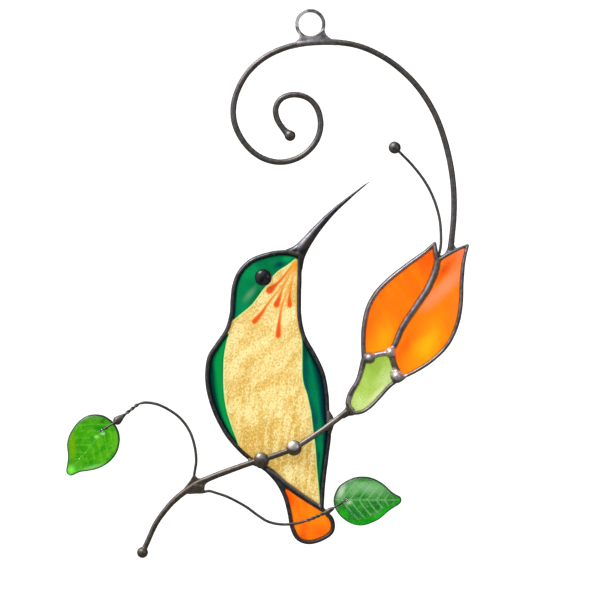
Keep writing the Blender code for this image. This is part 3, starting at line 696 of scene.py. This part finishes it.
bird_solder = melted("bird_solder_and_beak", shape, cell=0.00028, passes=5)
# Painted highlights on the solder: a pale strip on the beak root, a line along the tail seam's upper side and
# the crown of the head's rim.
paint_highlights(
    bird_solder, 0.0,
    ([(296, 247.6), (302, 242.6), (309, 234)], 1.0, 0.42),
    ([(309, 234), (322, 220)], 0.4, 0.25),
    ([(268, 468.6), (284, 480), (301, 492.5), (319, 505)], 0.2, 0.55),
    ([(238, 273), (250, 261), (268, 254)], 0.2, 0.3),
)
bird_solder.data.materials.append(patina(
    "blackened_solder", (0.045, 0.049, 0.06), (0.105, 0.105, 0.122), (0.088, 0.074, 0.062),
    painted_highlight=(0.36, 0.34, 0.38),
))
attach(bird_solder, "root")
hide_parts("bird_solder", "bird_beak")


# The eye is half of a black glass bead, with a flat back.
# It is glued to the front of the pane, on the emerald of the head.
EYE_WIDTH = 17 * SQUARE
EYE_DEPTH = 0.0044
GLUE = 0.0001
shape = bmesh.new()
bmesh.ops.create_uvsphere(shape, u_segments=48, v_segments=32, radius=0.5)
bmesh.ops.rotate(shape, verts=shape.verts, matrix=Matrix.Rotation(math.pi / 2, 3, "X"))
cut = bmesh.ops.bisect_plane(
    shape, geom=[*shape.verts, *shape.edges, *shape.faces], plane_co=(0, 0, 0), plane_no=(0, 1, 0),
    clear_outer=True,
)
back_edge = [item for item in cut["geom_cut"] if isinstance(item, bmesh.types.BMEdge)]
bmesh.ops.contextual_create(shape, geom=back_edge)
bmesh.ops.scale(shape, verts=shape.verts, vec=(EYE_WIDTH, EYE_DEPTH, EYE_WIDTH))
bmesh.ops.translate(shape, verts=shape.verts, vec=at(263.3, 277.5, -GLASS / 2 - GLUE))
bead_eye = piece("bird_eye_bead", shape)
bead_eye.data.shade_smooth()
bead_eye.data.set_sharp_from_angle(angle=math.radians(60))
black, tree, shader = new_finish("black_glass", Roughness=0.35, Specular_IOR_Level=0.45)
tone = cloud(tree, stretched(tree), 500.0)
colour = tinted(tree, share_of(tree, tone, 0.4, 0.7), (0.002, 0.002, 0.004), (0.010, 0.011, 0.022))
tree.links.new(colour, shader.inputs["Base Color"])
tree.links.new(share_of(tree, tone, 0.4, 0.7, 0.30, 0.42), shader.inputs["Roughness"])
bead_eye.data.materials.append(black)
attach(bead_eye, "root")
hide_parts("bird_eye")


# The bud has two petals of streaky orange glass and a calyx of wispy lime glass.
# The three panes are cut to meet at the seams, and their foiled edges are inside the solder.
LEFT_PETAL_LINE = [
    (364, 360), (363.4, 345), (364, 328), (367.9, 309), (376, 293.5), (389.3, 279.6), (406.2, 266.1),
    (420, 256), (433.9, 245.6),
]
LEFT_TIP_LINE = [(433.9, 245.6), (436.3, 252), (437.6, 260.5)]
RIGHT_TIP_LINE = [(437.6, 260.5), (449.8, 253.2), (466.6, 247.4)]
PETAL_SEAM = [
    (437.6, 260.5), (434.6, 273), (427.5, 289), (414.3, 309), (401.5, 329), (395.2, 344), (391, 352),
]
RIGHT_PETAL_LINE = [
    (466.6, 247.4), (463, 265), (461.4, 285), (460.4, 306), (456.6, 325), (447, 345), (432, 360),
    (417, 370), (400.5, 378),
]
CALYX_TOP_SEAM = [(364, 360), (377, 354.6), (391, 352)]
CALYX_SIDE_SEAM = [(391, 352), (394.5, 366), (400.5, 378)]
CALYX_LINE = [
    (400.5, 378), (390, 385.5), (380.8, 395.3), (371.7, 405), (362, 411.6), (352.5, 412.2),
    (347.6, 405), (350, 393.5), (357.5, 381), (364, 360),
]
left_petal = cut_pane("left_petal", [LEFT_PETAL_LINE, LEFT_TIP_LINE, PETAL_SEAM, CALYX_TOP_SEAM[::-1]])
right_petal = cut_pane(
    "right_petal", [RIGHT_TIP_LINE, RIGHT_PETAL_LINE, CALYX_SIDE_SEAM[::-1], PETAL_SEAM[::-1]]
)
calyx = cut_pane("calyx", [CALYX_TOP_SEAM, CALYX_SIDE_SEAM, CALYX_LINE])
left_petal.data.materials.append(orange_glass(
    "left_petal_glass",
    (0.99, 0.16, 0.0),
    [
        (428, 258, 26, 20, 50, (0.92, 0.10, 0.0), 0.95),
        (383, 342, 16, 34, 14, (1.0, 0.36, 0.0), 1.0),
        (374, 352, 16, 14, 60, (1.0, 0.30, 0.0), 0.8),
        (392, 306, 26, 22, 40, (1.0, 0.19, 0.0), 0.7),
        (402, 326, 6, 22, 30, (0.95, 0.13, 0.0), 0.7),
    ],
    streak_turn=30,
))
right_petal.data.materials.append(orange_glass(
    "right_petal_glass",
    (1.0, 0.20, 0.0),
    [
        (456, 262, 18, 22, 20, (0.92, 0.20, 0.04), 0.9),
        # The next three patches are a painted reflection: a pinkish sheen by the tip and a pinkish band
        # running down and left from it.
        (461, 253.5, 6, 8, 30, (0.97, 0.20, 0.12), 0.8),
        (446, 286, 9, 34, 42, (0.96, 0.28, 0.12), 1.0),
        (430, 300, 8, 18, 40, (0.98, 0.27, 0.10), 0.8),
        (445, 269, 6.5, 22, 34, (0.76, 0.08, 0.0), 1.0),
        (454, 306, 10, 26, 12, (0.94, 0.19, 0.01), 0.7),
        (427, 345, 17, 32, 24, (1.0, 0.46, 0.0), 0.9),
        (404, 346, 9, 24, 32, (0.96, 0.13, 0.0), 0.9),
        (420, 334, 7, 16, 60, (0.98, 0.17, 0.0), 0.5),
        (410, 367, 20, 9, -60, (1.0, 0.27, 0.0), 0.8),
    ],
    streak_turn=38,
))
lime, tree, shader = new_finish(
    "lime_glass", Roughness=0.25, IOR=1.4, Transmission_Weight=0.75, Specular_IOR_Level=0.2
)
wisp = cloud(tree, stretched(tree, (1.5, 1, 0.5), math.radians(-35)), 130.0, 3.0, 0.55, 0.8)
colour = tinted(tree, share_of(tree, wisp, 0.38, 0.70), (0.37, 0.56, 0.07), (0.46, 0.64, 0.13))
colour = dappled(tree, colour, [
    (388, 379, 13, 22, 30, (0.58, 0.70, 0.27), 0.9),
    (361, 405, 20, 14, 60, (0.60, 0.75, 0.26), 0.9),
    (376, 395, 4, 18, 44, (0.76, 0.82, 0.42), 0.8),
    (375, 366, 13, 16, 20, (0.33, 0.52, 0.06), 0.9),
    (382, 372, 3, 12, 25, (0.56, 0.72, 0.25), 0.5),
])
surfaced(tree, shader, colour, share_of(tree, wisp, 0.3, 0.7, 0.2, 0.32), wisp, 0.35, 0.0006)
calyx.data.materials.append(lime)
for pane, node, slot in (
    (left_petal, "left_petal_glass", "orange_glass"),
    (right_petal, "right_petal_glass", "orange_glass"),
    (calyx, "calyx_glass", "lime_glass"),
):
    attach(pane, "root")
    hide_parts(node)


# The bud's solder: thin round the outside, heavy down the middle, with three beads where the calyx joins.
# The foot of the scroll is bedded in its top edge.
BEAD_PLANE = -0.001
shape = bmesh.new()
for line, widths, deep in (
    (LEFT_PETAL_LINE, [5.0, 5.0, 5.2, 5.2, 5.2, 5.2, 5.0, 4.6, 3.4], 2.2),
    (RIGHT_PETAL_LINE, [3.4, 4.4, 4.6, 4.8, 4.6, 4.4, 4.2, 4.2, 4.2], 2.4),
    (CALYX_LINE, 4.3, 2.5),
    ([(434.8, 243), (435.3, 252), (437.2, 260.5)], [3.2, 5.8, 5.6], 2.0),
    ([(427, 250.5), (435.4, 241.9)], [4.0, 2.2], 2.6),
    ([*RIGHT_TIP_LINE[:2], (468, 244.9)], [4.6, 4.2, 2.6], 2.4),
    ([(465.4, 252.5), (468.2, 244.6)], [4.0, 2.2], 2.6),
    (PETAL_SEAM, [7.6, 8.0, 8.0, 7.6, 7.2, 6.8, 6.4], 1.5),
    (CALYX_TOP_SEAM, 6.4, 1.9),
    (CALYX_SIDE_SEAM, [7.2, 7.0, 9], 1.6),
    ([(364, 360), (358.5, 380), (351, 394.5), (348.6, 405), (353.5, 411)], [6.4, 5.4, 5.2, 5.6, 5.4], 1.9),
    ([(452, 240), (450.8, 247), (449.8, 252)], [5.8, 6.2, 7], 0.8),
    ([(453, 245), (454, 247.4), (456.5, 249.4)], [2.6, 3.2, 2.6], 0.8),
    ([(449.8, 248), (448.2, 251.2), (446, 254)], [3.2, 4.0, 3.2], 0.8),
    ([(439.8, 254.6), (438.6, 258), (437.6, 261)], [2.0, 3.4, 6], 0.9),
    ([(392.5, 370), (396.5, 377), (405, 376.5)], [6.0, 11.5, 5.0], 1.2),
):
    run_of_metal(shape, line, widths, deep)
for across, down, width in ((369.6, 358, 11.8), (390.6, 352.2, 11.2)):
    drop_of_metal(shape, across, down, width, 0.0080, BEAD_PLANE)
drop_of_metal(shape, 397, 376.5, 13.4, 0.0078, BEAD_PLANE)
bud_solder = melted("bud_solder_and_beads", shape, cell=0.00028)
# Painted highlights on the solder: the tops of the three beads, the bar between them, the calyx foot and the
# upper-left rims and seam.
paint_highlights(
    bud_solder, 0.0,
    ([(368.4, 356.8), (369.4, 356.8)], 2.6, 0.6),
    ([(389.5, 350.6), (392, 351)], 3.8, 1.0),
    ([(393.6, 372), (397, 375.5), (403, 374.5)], 3.2, 1.0),
    ([(374, 355.4), (387, 352.2)], 1.2, 0.8),
    ([(349.4, 398), (348.6, 405), (352.5, 411)], 1.0, 0.5),
    ([(362, 372), (356, 385)], 0.2, 0.4),
    ([(366, 318), (377, 294), (398, 273), (428, 251)], 0.2, 0.35),
    ([(436, 268), (426, 292), (404, 328)], 0.2, 0.2),
)
bud_solder.data.materials.append(patina(
    "bright_blackened_solder", (0.13, 0.12, 0.13), (0.27, 0.25, 0.265), (0.20, 0.165, 0.14),
    painted_highlight=(0.66, 0.60, 0.65),
))
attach(bud_solder, "root")
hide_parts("bud_solder")


# The scroll is one length of 2.5 mm tinned copper wire, curled by hand from the ball on its inner end.
# Its foot is bedded in the solder of the bud.
SCROLL = [
    (290, 135.5), (283, 128.3), (277.2, 119), (275.7, 108.5), (280.5, 99.5), (289, 95.3),
    (299, 95), (309.5, 99.2), (317, 108), (320.6, 122), (318.5, 136), (311, 148.2),
    (298, 158), (280.5, 162.2), (262, 157.8), (246, 144.8), (235.8, 127), (233.2, 110),
    (237, 92), (247.5, 73), (263, 58.6), (283, 48.5), (310.3, 42.4), (335, 42.1),
    (358, 45.7), (380, 55), (402, 70.5), (421, 91), (436.5, 117.5), (447.3, 150),
    (453, 182), (454, 210), (452.3, 234), (449.9, 252.5),
]
SCROLL_WIDTH = 6.1
BALL_WIDTH = 11.2
WIRE = patina("blackened_wire", (0.105, 0.10, 0.10), (0.18, 0.17, 0.17), (0.155, 0.125, 0.105))
shape = bmesh.new()
run_of_metal(shape, SCROLL, SCROLL_WIDTH)
run_of_metal(shape, [(281.5, 126.5), (284.5, 130.2), (288.5, 134)], [5.8, 6.6, 9.0])
drop_of_metal(shape, *SCROLL[0], BALL_WIDTH)
scroll = melted("scroll", shape, cell=0.00026, ripple=0.00004, ripple_size=0.006)
scroll.data.materials.append(WIRE)
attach(scroll, "root")
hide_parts("scroll_wire")


# The hanging ring is a jump ring of 1.4 mm wire, closed with solder.
# A saddle of solder seats it on the crest of the scroll and runs out along the wire both ways.
RING_RADIUS = 0.0061
RING_WIRE = 0.00184
shape = bmesh.new()
bmesh.ops.create_circle(shape, cap_ends=False, segments=20, radius=RING_WIRE / 2)
bmesh.ops.rotate(shape, verts=shape.verts, matrix=Matrix.Rotation(math.pi / 2, 3, "X"))
bmesh.ops.translate(shape, verts=shape.verts, vec=(RING_RADIUS, 0, 0))
bmesh.ops.spin(
    shape, geom=[*shape.verts, *shape.edges], cent=(0, 0, 0), axis=(0, 1, 0), dvec=(0, 0, 0),
    angle=2 * math.pi, steps=96, use_merge=True,
)
bmesh.ops.translate(shape, verts=shape.verts, vec=at(HOOK_ACROSS, 24.2))
web_of_metal(
    shape,
    [
        (297.4, 28.5), (299, 32.6), (299.2, 36.6), (294, 43), (298, 46), (310, 44.6), (323, 44.1),
        (337, 44.4), (336, 40.6), (330.6, 38.2), (325.8, 33.8), (323.9, 28.5), (321.6, 30.6),
        (316.6, 34.4), (310, 36.2), (304, 35.4), (299.9, 31.8), (297.4, 28.5),
    ],
    0.0017,
)
run_of_metal(
    shape, [(290, 46.6), (300, 44.1), (310.3, 42.7), (323, 42.1), (338, 42.7)], [5.6, 6.2, 6.4, 6.3, 5.6]
)
ring = melted("ring_and_saddle", shape, cell=0.00018, passes=9, ripple=0.00002)
# Painted highlights on the solder: the ring's upper-left arc, the saddle's left flare and its crest.
paint_highlights(
    ring, 0.0,
    ([(296.4, 25), (297.2, 19), (300.6, 14.2), (306, 11.4)], 1.0, 1.0),
    ([(299, 31.5), (300.8, 37), (297, 42)], 0.2, 0.9),
    ([(303, 37.6), (312, 38.6), (320, 37)], 0.6, 0.35),
)
ring.data.materials.append(patina(
    "silver_solder", (0.17, 0.165, 0.18), (0.34, 0.32, 0.34), (0.22, 0.19, 0.15), painted_highlight=(0.85, 0.83, 0.86)
))
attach(ring, "root")
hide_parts("hanging_ring")


# The stamen is a fine wire with a ball of solder melted onto its end.
# Its foot stands in the notch between the petals, in the bud's solder.
STAMEN = [
    (437.8, 259), (440.6, 247), (441, 236), (439.6, 219), (434, 199.5), (425.5, 182.5), (413.5, 166.5),
    (399.5, 152), (394.7, 147.5),
]
FINE_WIDTH = 2.9
shape = bmesh.new()
run_of_metal(shape, STAMEN, FINE_WIDTH)
drop_of_metal(shape, *STAMEN[-1], 12.4)
stamen = melted("stamen", shape, cell=0.00014, ripple=0.00003, ripple_size=0.003)
stamen.data.materials.append(WIRE)
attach(stamen, "root")
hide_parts("stamen_wire")


# The branch is wire flooded with solder, laid across the front of the bird and tacked to its rim on both
# sides. Two beads make the bird's claws, a web at the fork carries the leaf stems, and a fillet joins the
# end to the bud.
BRANCH_PLANE = -0.00395
CLAW_PLANE = BRANCH_PLANE - 0.0002
CLAW_DEPTH = 0.0046
BRANCH = [
    (142.5, 552.5), (147, 543), (156, 523.5), (168, 507), (178.9, 496.3), (196.8, 483.6), (205.7, 479.7),
    (223.6, 472.6), (252, 462.5), (272, 456.7), (294, 448), (318, 433), (334, 421.5), (347.6, 411),
]
shape = bmesh.new()
run_of_metal(
    shape, BRANCH, [5.7, 5.5, 5.5, 5.9, 6.3, 6.7, 6.5, 6.3, 5.9, 5.7, 5.7, 5.7, 5.9, 6.1], plane=BRANCH_PLANE
)
drop_of_metal(shape, *BRANCH[0], BALL_WIDTH, plane=BRANCH_PLANE)
drop_of_metal(shape, 261.3, 460.4, 15.6, CLAW_DEPTH, CLAW_PLANE, tall=16.2)
drop_of_metal(shape, 294, 448, 15.4, CLAW_DEPTH, CLAW_PLANE, tall=15.8)
web_of_metal(
    shape,
    [
        (193.9, 473.5), (190, 480.5), (183, 491), (187, 494), (196, 493.8), (204.6, 493), (204.2, 487.5),
        (206.6, 483.4), (211.5, 480.2), (208, 477.6), (203, 478.4), (197.5, 478), (194.6, 474.4),
        (193.9, 473.5),
    ],
    0.0021, BRANCH_PLANE,
)
drop_of_metal(shape, 197, 486.6, 16, 0.0033, BRANCH_PLANE, tall=13)
for line, widths, deep, plane in (
    ([(328.2, 411), (330.2, 421), (329.6, 434)], [3.2, 8.5, 3.6], 0.8, -0.0026),
    ([(248.6, 458.4), (252, 461.8), (257, 464.5)], [2.8, 5.2, 5.2], 1.0, -0.0030),
    ([(261.5, 462), (264, 467)], [9, 7], 0.9, -0.0030),
    ([(341, 416), (348.6, 410.4)], [5.0, 6.6], 1.0, -0.0034),
    ([(343, 414.6), (350, 411.4)], [5.6, 6.4], 1.1, -0.0020),
):
    run_of_metal(shape, line, widths, deep, plane)
web_of_metal(
    shape,
    [
        (347, 402), (345.8, 407), (343.2, 411.8), (340, 416), (343, 418.8), (348.6, 416.2), (354.5, 415),
        (353.5, 412), (351, 409), (348.6, 405),
    ],
    0.0028, -0.0015,
)
branch = melted("branch", shape, cell=0.00024, passes=6)
# Painted highlights on the solder: the tops of the two claw beads and a streak along the branch's right part.
paint_highlights(
    branch, BRANCH_PLANE,
    ([(259, 455), (263, 455.6)], 1.6, 0.35),
    ([(291.4, 444.6), (294.4, 445.4)], 3.2, 1.0),
    ([(300, 445), (318, 433), (338, 418.5)], 1.0, 0.22),
)
branch.data.materials.append(patina(
    "brown_blackened_wire", (0.10, 0.09, 0.08), (0.17, 0.15, 0.135), (0.15, 0.12, 0.095),
    painted_highlight=(0.68, 0.63, 0.60),
))
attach(branch, "root")
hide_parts("branch_wire")


# Each leaf stem is fine wire from the fork, with its end doubled through the leaf and twisted back on itself,
# and a knot of solder where the twist meets the leaf.
LEAF_PLANE = -0.0056
STRAND_WIDTH = 2.0
LOOP_WIDTH = 1.9
LOOP_HALF = 0.00235
TWIST_SWING = 0.85
FINE_WIRE = patina("fine_blackened_wire", (0.09, 0.085, 0.08), (0.17, 0.16, 0.15), (0.14, 0.11, 0.09))


def strand_of_wire(shape, knots, width):
    """Adds a fine wire through places in the hanging, its width in squares."""
    tube(shape, flow([(*place, width * SQUARE) for place in knots], parts=3), roundness=3)


def stem(name, line, twist_from, knot_size, loop_run, loop_length, turns, knot_line, knot_widths):
    """A stem along the line, twisted from the knot numbered twist_from, and the place of the leaf's hole."""
    shape = bmesh.new()
    path = flow([(across, down, 0) for across, down in line], 8)
    last = len(path) - 1
    start = twist_from * 8
    depth = [BRANCH_PLANE + (LEAF_PLANE - BRANCH_PLANE) * index / last for index in range(last + 1)]
    strand_of_wire(shape, [at(p.x, p.y, d) for p, d in zip(path[:start + 1], depth)], FINE_WIDTH)
    for strand in range(2):
        wound = []
        for index in range(start, last + 1):
            share = (index - start) / (last - start)
            here, ahead = path[index], path[min(index + 1, last)]
            run = (ahead - path[index - 1]).normalized()
            turn = 2 * math.pi * turns * share + math.pi * strand
            swing = TWIST_SWING * min(1.0, share * 6)
            spot = here + Vector((-run.y, run.x, 0)) * math.cos(turn) * swing
            wound.append(at(spot.x, spot.y, depth[index] + math.sin(turn) * swing * SQUARE))
        strand_of_wire(shape, wound, STRAND_WIDTH)
    knot = path[last]
    run = Vector((*loop_run, 0)).normalized()
    hole = knot + run * loop_length
    drop_of_metal(shape, knot.x, knot.y, knot_size, plane=LEAF_PLANE)
    run_of_metal(shape, knot_line, knot_widths, plane=LEAF_PLANE)
    for side in (-LOOP_HALF, LOOP_HALF):
        leg = [
            (knot, 0.4), (knot + run * knot_size * 0.6, 0.95), (hole - run * 2.5, 1.0),
            (hole - run * 0.3, 0.75), (hole + run * 0.2, 0.0),
        ]
        strand_of_wire(shape, [at(p.x, p.y, LEAF_PLANE + side * out) for p, out in leg], LOOP_WIDTH)
    made = melted(name, shape, cell=0.00012, passes=2, ripple=0.00002, ripple_size=0.002)
    made.data.materials.append(FINE_WIRE)
    return made, hole[:2]


left_stem, left_hole = stem(
    "left_leaf_stem_wire",
    [
        (193.6, 478), (195, 470), (196.2, 461), (194.8, 447), (190, 432), (181, 419), (169, 409.8),
        (155, 403.7), (141, 403.2), (130, 410.5), (117.4, 420.6),
    ],
    twist_from=8, turns=2.6, knot_size=8.6, loop_run=(-15.1, 9.6), loop_length=17.9,
    knot_line=[(123.4, 415.4), (120, 418.4), (116.6, 421.2)], knot_widths=[3.4, 7.0, 8.6],
)
right_stem, right_hole = stem(
    "right_leaf_stem_wire",
    [
        (203.5, 492), (209, 491), (216.4, 493), (226, 496.2), (236, 501), (247, 507.4), (258.9, 516.1),
        (267.5, 521.3), (278, 524), (290.2, 524.2), (304, 521.4), (317, 516.5), (329.5, 510.6),
    ],
    twist_from=10, turns=2.8, knot_size=4.8, loop_run=(16.5, -11), loop_length=19.8,
    knot_line=[(323.5, 513.6), (328.6, 511), (333.6, 508)], knot_widths=[3.2, 5.4, 3.2],
)
for made, node in ((left_stem, "left_leaf_stem"), (right_stem, "right_leaf_stem")):
    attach(made, "root")
    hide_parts(node)


# The leaves are pressed glass beads, hung by the hole near the stem end. The press leaves a smooth rounded
# rim, a midrib and side veins in relief on the front, and a plain domed back.
LEAF_BLANK = 0.0034
LEAF_HALF = 0.00158
LEAF_ROUNDING = 4.2
LEAF_BORDER = 4.5
HOLE_RADIUS = 1.5
VEIN_FORKS = (0.12, 0.24, 0.37, 0.50, 0.63, 0.75)
VEIN_LEAN = 0.62
NOWHERE = 9.0
LEFT_LEAF = [
    (65.9, 470.9), (66.6, 466.3), (67.4, 461.2), (67.7, 456.1), (67.3, 451), (66.8, 444.9),
    (67.7, 439.3), (70.2, 432.7), (73.8, 427), (77.9, 421.9), (83, 417.9), (88.6, 415.3),
    (95.7, 414.5), (103.4, 415.8), (108, 418.4), (113.1, 422.4), (116.6, 427.6), (118.7, 432.7),
    (119.6, 438.8), (119.2, 443.9), (117.7, 450), (114.6, 456.1), (110, 461.5), (104.9, 465.3),
    (98.8, 468.4), (92.7, 470.2), (85.5, 471.4), (79.4, 472.4), (74.3, 474.7), (70.2, 475.8),
    (67.1, 474), (65.9, 470.9),
]
RIGHT_LEAF = [
    (401.7, 499.8), (400.6, 497.1), (397.1, 495.2), (392.8, 492.6), (389, 489.2), (384.6, 485),
    (379.2, 481.4), (373.8, 478.7), (368.4, 477.2), (361.9, 476.8), (355.4, 477.5), (349.4, 479.8),
    (344, 482.7), (339.6, 486), (336.7, 490.1), (334.8, 494.4), (333.6, 499.3), (333.7, 503.6),
    (335.3, 509), (338, 513.4), (341.8, 517.7), (346.7, 521.5), (352.1, 524.2), (358.6, 525.7),
    (365.1, 525.3), (371.6, 523.1), (379.2, 519.4), (384.6, 515), (390, 510.4), (395.5, 506.9),
    (399.3, 504.4), (401.2, 502), (401.7, 499.8),
]


def pressed_leaf(name, outline, stem_end, tip, hole):
    """A leaf with its outline on the pattern, its midrib from the stem end to the tip and a drilled hole."""
    leaf = cut_pane(
        name, [outline], thickness=LEAF_BLANK, cell=0.00028, ripple=0, depth=LEAF_PLANE,
        bore=(*hole, HOLE_RADIUS),
    )
    spots = spread(leaf, LEAF_PLANE)
    rim = away_from(spots, flat_line(outline))[0]
    stem_end, tip = np.array(stem_end, float), np.array(tip, float)
    axis = tip - stem_end
    length = np.linalg.norm(axis)
    axis /= length
    along = (spots - stem_end) @ axis / length
    aside = np.abs((spots - stem_end) @ np.array((-axis[1], axis[0])))
    side_vein = np.full(len(spots), NOWHERE)
    for fork in VEIN_FORKS:
        off = np.abs((along - fork) * length - VEIN_LEAN * aside - 0.010 * aside ** 2) * 0.8
        side_vein = np.minimum(side_vein, np.where(aside < 26 * (1 - fork), off, NOWHERE))
    midrib = np.where(along < 0.97, aside, NOWHERE)
    bore = np.linalg.norm(spots - np.array(hole), axis=1)
    for vert, edge, rib, vein, hole_gap in zip(leaf.data.vertices, rim, midrib, side_vein, bore):
        round_off = math.sqrt(max(0.0, 1 - max(0.0, 1 - edge / LEAF_ROUNDING) ** 2))
        half = LEAF_HALF * (0.22 + 0.78 * round_off)
        front = vert.co.y < LEAF_PLANE
        if front:
            inner = min(1.0, max(0.0, (edge - LEAF_BORDER) / 2.5))
            relief = 0.00026 * max(0.0, 1 - (rib / 1.1) ** 2) - 0.00022
            relief += 0.00020 * max(0.0, 1 - (vein / 0.85) ** 2)
            relief += 0.00009 * noise.noise(vert.co / 0.0017)
            half += relief * inner
        half *= min(1.0, 0.72 + 0.28 * max(0.0, (hole_gap - HOLE_RADIUS) / 2.5))
        vert.co.y = LEAF_PLANE + (-half if front else half)
    ease = leaf.modifiers.new("Ease", "SMOOTH")
    ease.iterations = 1
    settled(leaf)
    note(leaf, "rim", rim)
    note(leaf, "vein", np.minimum(side_vein, midrib))
    note(leaf, "bore", bore)
    return leaf


def leaf_glass(name, deep, lit, mottle_and_highlight_tint, vein_highlight, patches):
    """Clear green glass, deep in the middle, with painted highlights along the veins and rim and painted
    shade at the very edge and round the hole.
    """
    made, tree, shader = new_finish(name, Roughness=0.12, IOR=1.45, Transmission_Weight=0.92)
    rim = kept(tree, "rim")
    mottle = cloud(tree, stretched(tree, (1, 1, 0.8)), 620.0, 4.0, 0.65, 0.8)
    swirl = cloud(tree, stretched(tree), 210.0, 3.0, 0.5, 1.2)
    colour = tinted(tree, share_of(tree, swirl, 0.38, 0.66), deep, lit)
    colour = layered(tree, colour, [
        (mottle, 0.50, 0.72, 0.45, mottle_and_highlight_tint),
        (mottle, 0.46, 0.30, 0.55, deep),
        # Painted highlight along the veins.
        (kept(tree, "vein"), 0.9, 0.2, vein_highlight, mottle_and_highlight_tint),
    ])
    colour = dappled(tree, colour, patches, LEAF_PLANE)
    # Painted shade: a dark line at the very edge and darker glass round the drilled hole.
    colour = layered(tree, colour, [
        (rim, 2.3, 0.9, 1.0, (0.002, 0.028, 0.004)),
        (kept(tree, "bore"), 3.2, 1.6, 1.0, (0.004, 0.08, 0.008)),
    ])
    surfaced(tree, shader, colour, share_of(tree, rim, 4.5, 2.0, 0.10, 0.35), mottle, 0.4, 0.0004)
    return made


left_leaf = pressed_leaf("left_leaf", LEFT_LEAF, (114, 418.5), (68.5, 473), left_hole)
left_leaf.data.materials.append(leaf_glass(
    "yellow_green_glass", (0.02, 0.27, 0.001), (0.08, 0.40, 0.006), (0.19, 0.60, 0.03), 0.25,
    [
        (72.4, 446, 4.6, 22, -3, (0.16, 0.38, 0.001), 0.95),
        # Painted highlights: a bright spot by the tip and a light strip inside the lower rim.
        (71.5, 469.5, 6, 6, 0, (0.22, 0.84, 0.08), 0.9),
        (94, 466.8, 20, 2.6, -14, (0.22, 0.60, 0.14), 0.8),
        (116.3, 442, 2.6, 13, 0, (0.13, 0.46, 0.01), 0.8),
        # Painted reflections: two bright spots in the dimple by the hole.
        (96, 436.8, 3.2, 2.6, 0, (0.34, 0.95, 0.16), 0.9),
        (102.8, 433, 3.0, 2.6, 0, (0.46, 0.90, 0.40), 0.9),
        (97, 427, 6, 4, 40, (0.005, 0.25, 0.01), 0.7),
        (103, 420.5, 3, 5, 40, (0.006, 0.14, 0.004), 0.9),
        (93, 418.5, 16, 4, -4, (0.09, 0.30, 0.03), 0.7),
        (93, 439, 4, 6, 30, (0.01, 0.28, 0.004), 0.7),
    ],
))
right_leaf = pressed_leaf("right_leaf", RIGHT_LEAF, (334, 499.5), (401.5, 499.8), right_hole)
right_leaf.data.materials.append(leaf_glass(
    "deep_green_glass", (0.007, 0.165, 0.01), (0.04, 0.285, 0.032), (0.24, 0.52, 0.23), 0.5,
    [
        # The first four patches are painted reflections: a pale grey-green sheen over the upper left and a
        # pale spot in the dimple by the hole.
        (368, 487, 32, 10, 12, (0.22, 0.48, 0.21), 0.85),
        (353, 491, 9, 7, -30, (0.20, 0.46, 0.18), 0.6),
        (341, 491, 5.5, 11, 24, (0.52, 0.68, 0.48), 0.85),
        (348.8, 502, 4, 3.4, 0, (0.45, 0.66, 0.38), 0.85),
        (355, 513, 8, 5, 30, (0.004, 0.15, 0.03), 0.7),
        (366, 521, 26, 5, -8, (0.0, 0.30, 0.0), 0.95),
        (343.5, 514, 7, 6, 45, (0.008, 0.42, 0.004), 0.9),
        (384, 512, 15, 3.6, -38, (0.0, 0.40, 0.0), 0.95),
        (397, 501.5, 5, 4, 0, (0.004, 0.30, 0.004), 0.8),
        (362, 479.5, 14, 3, 0, (0.02, 0.20, 0.004), 0.8),
    ],
))
for made, node in ((left_leaf, "left_leaf_glass"), (right_leaf, "right_leaf_glass")):
    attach(made, "root")
    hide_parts(node)
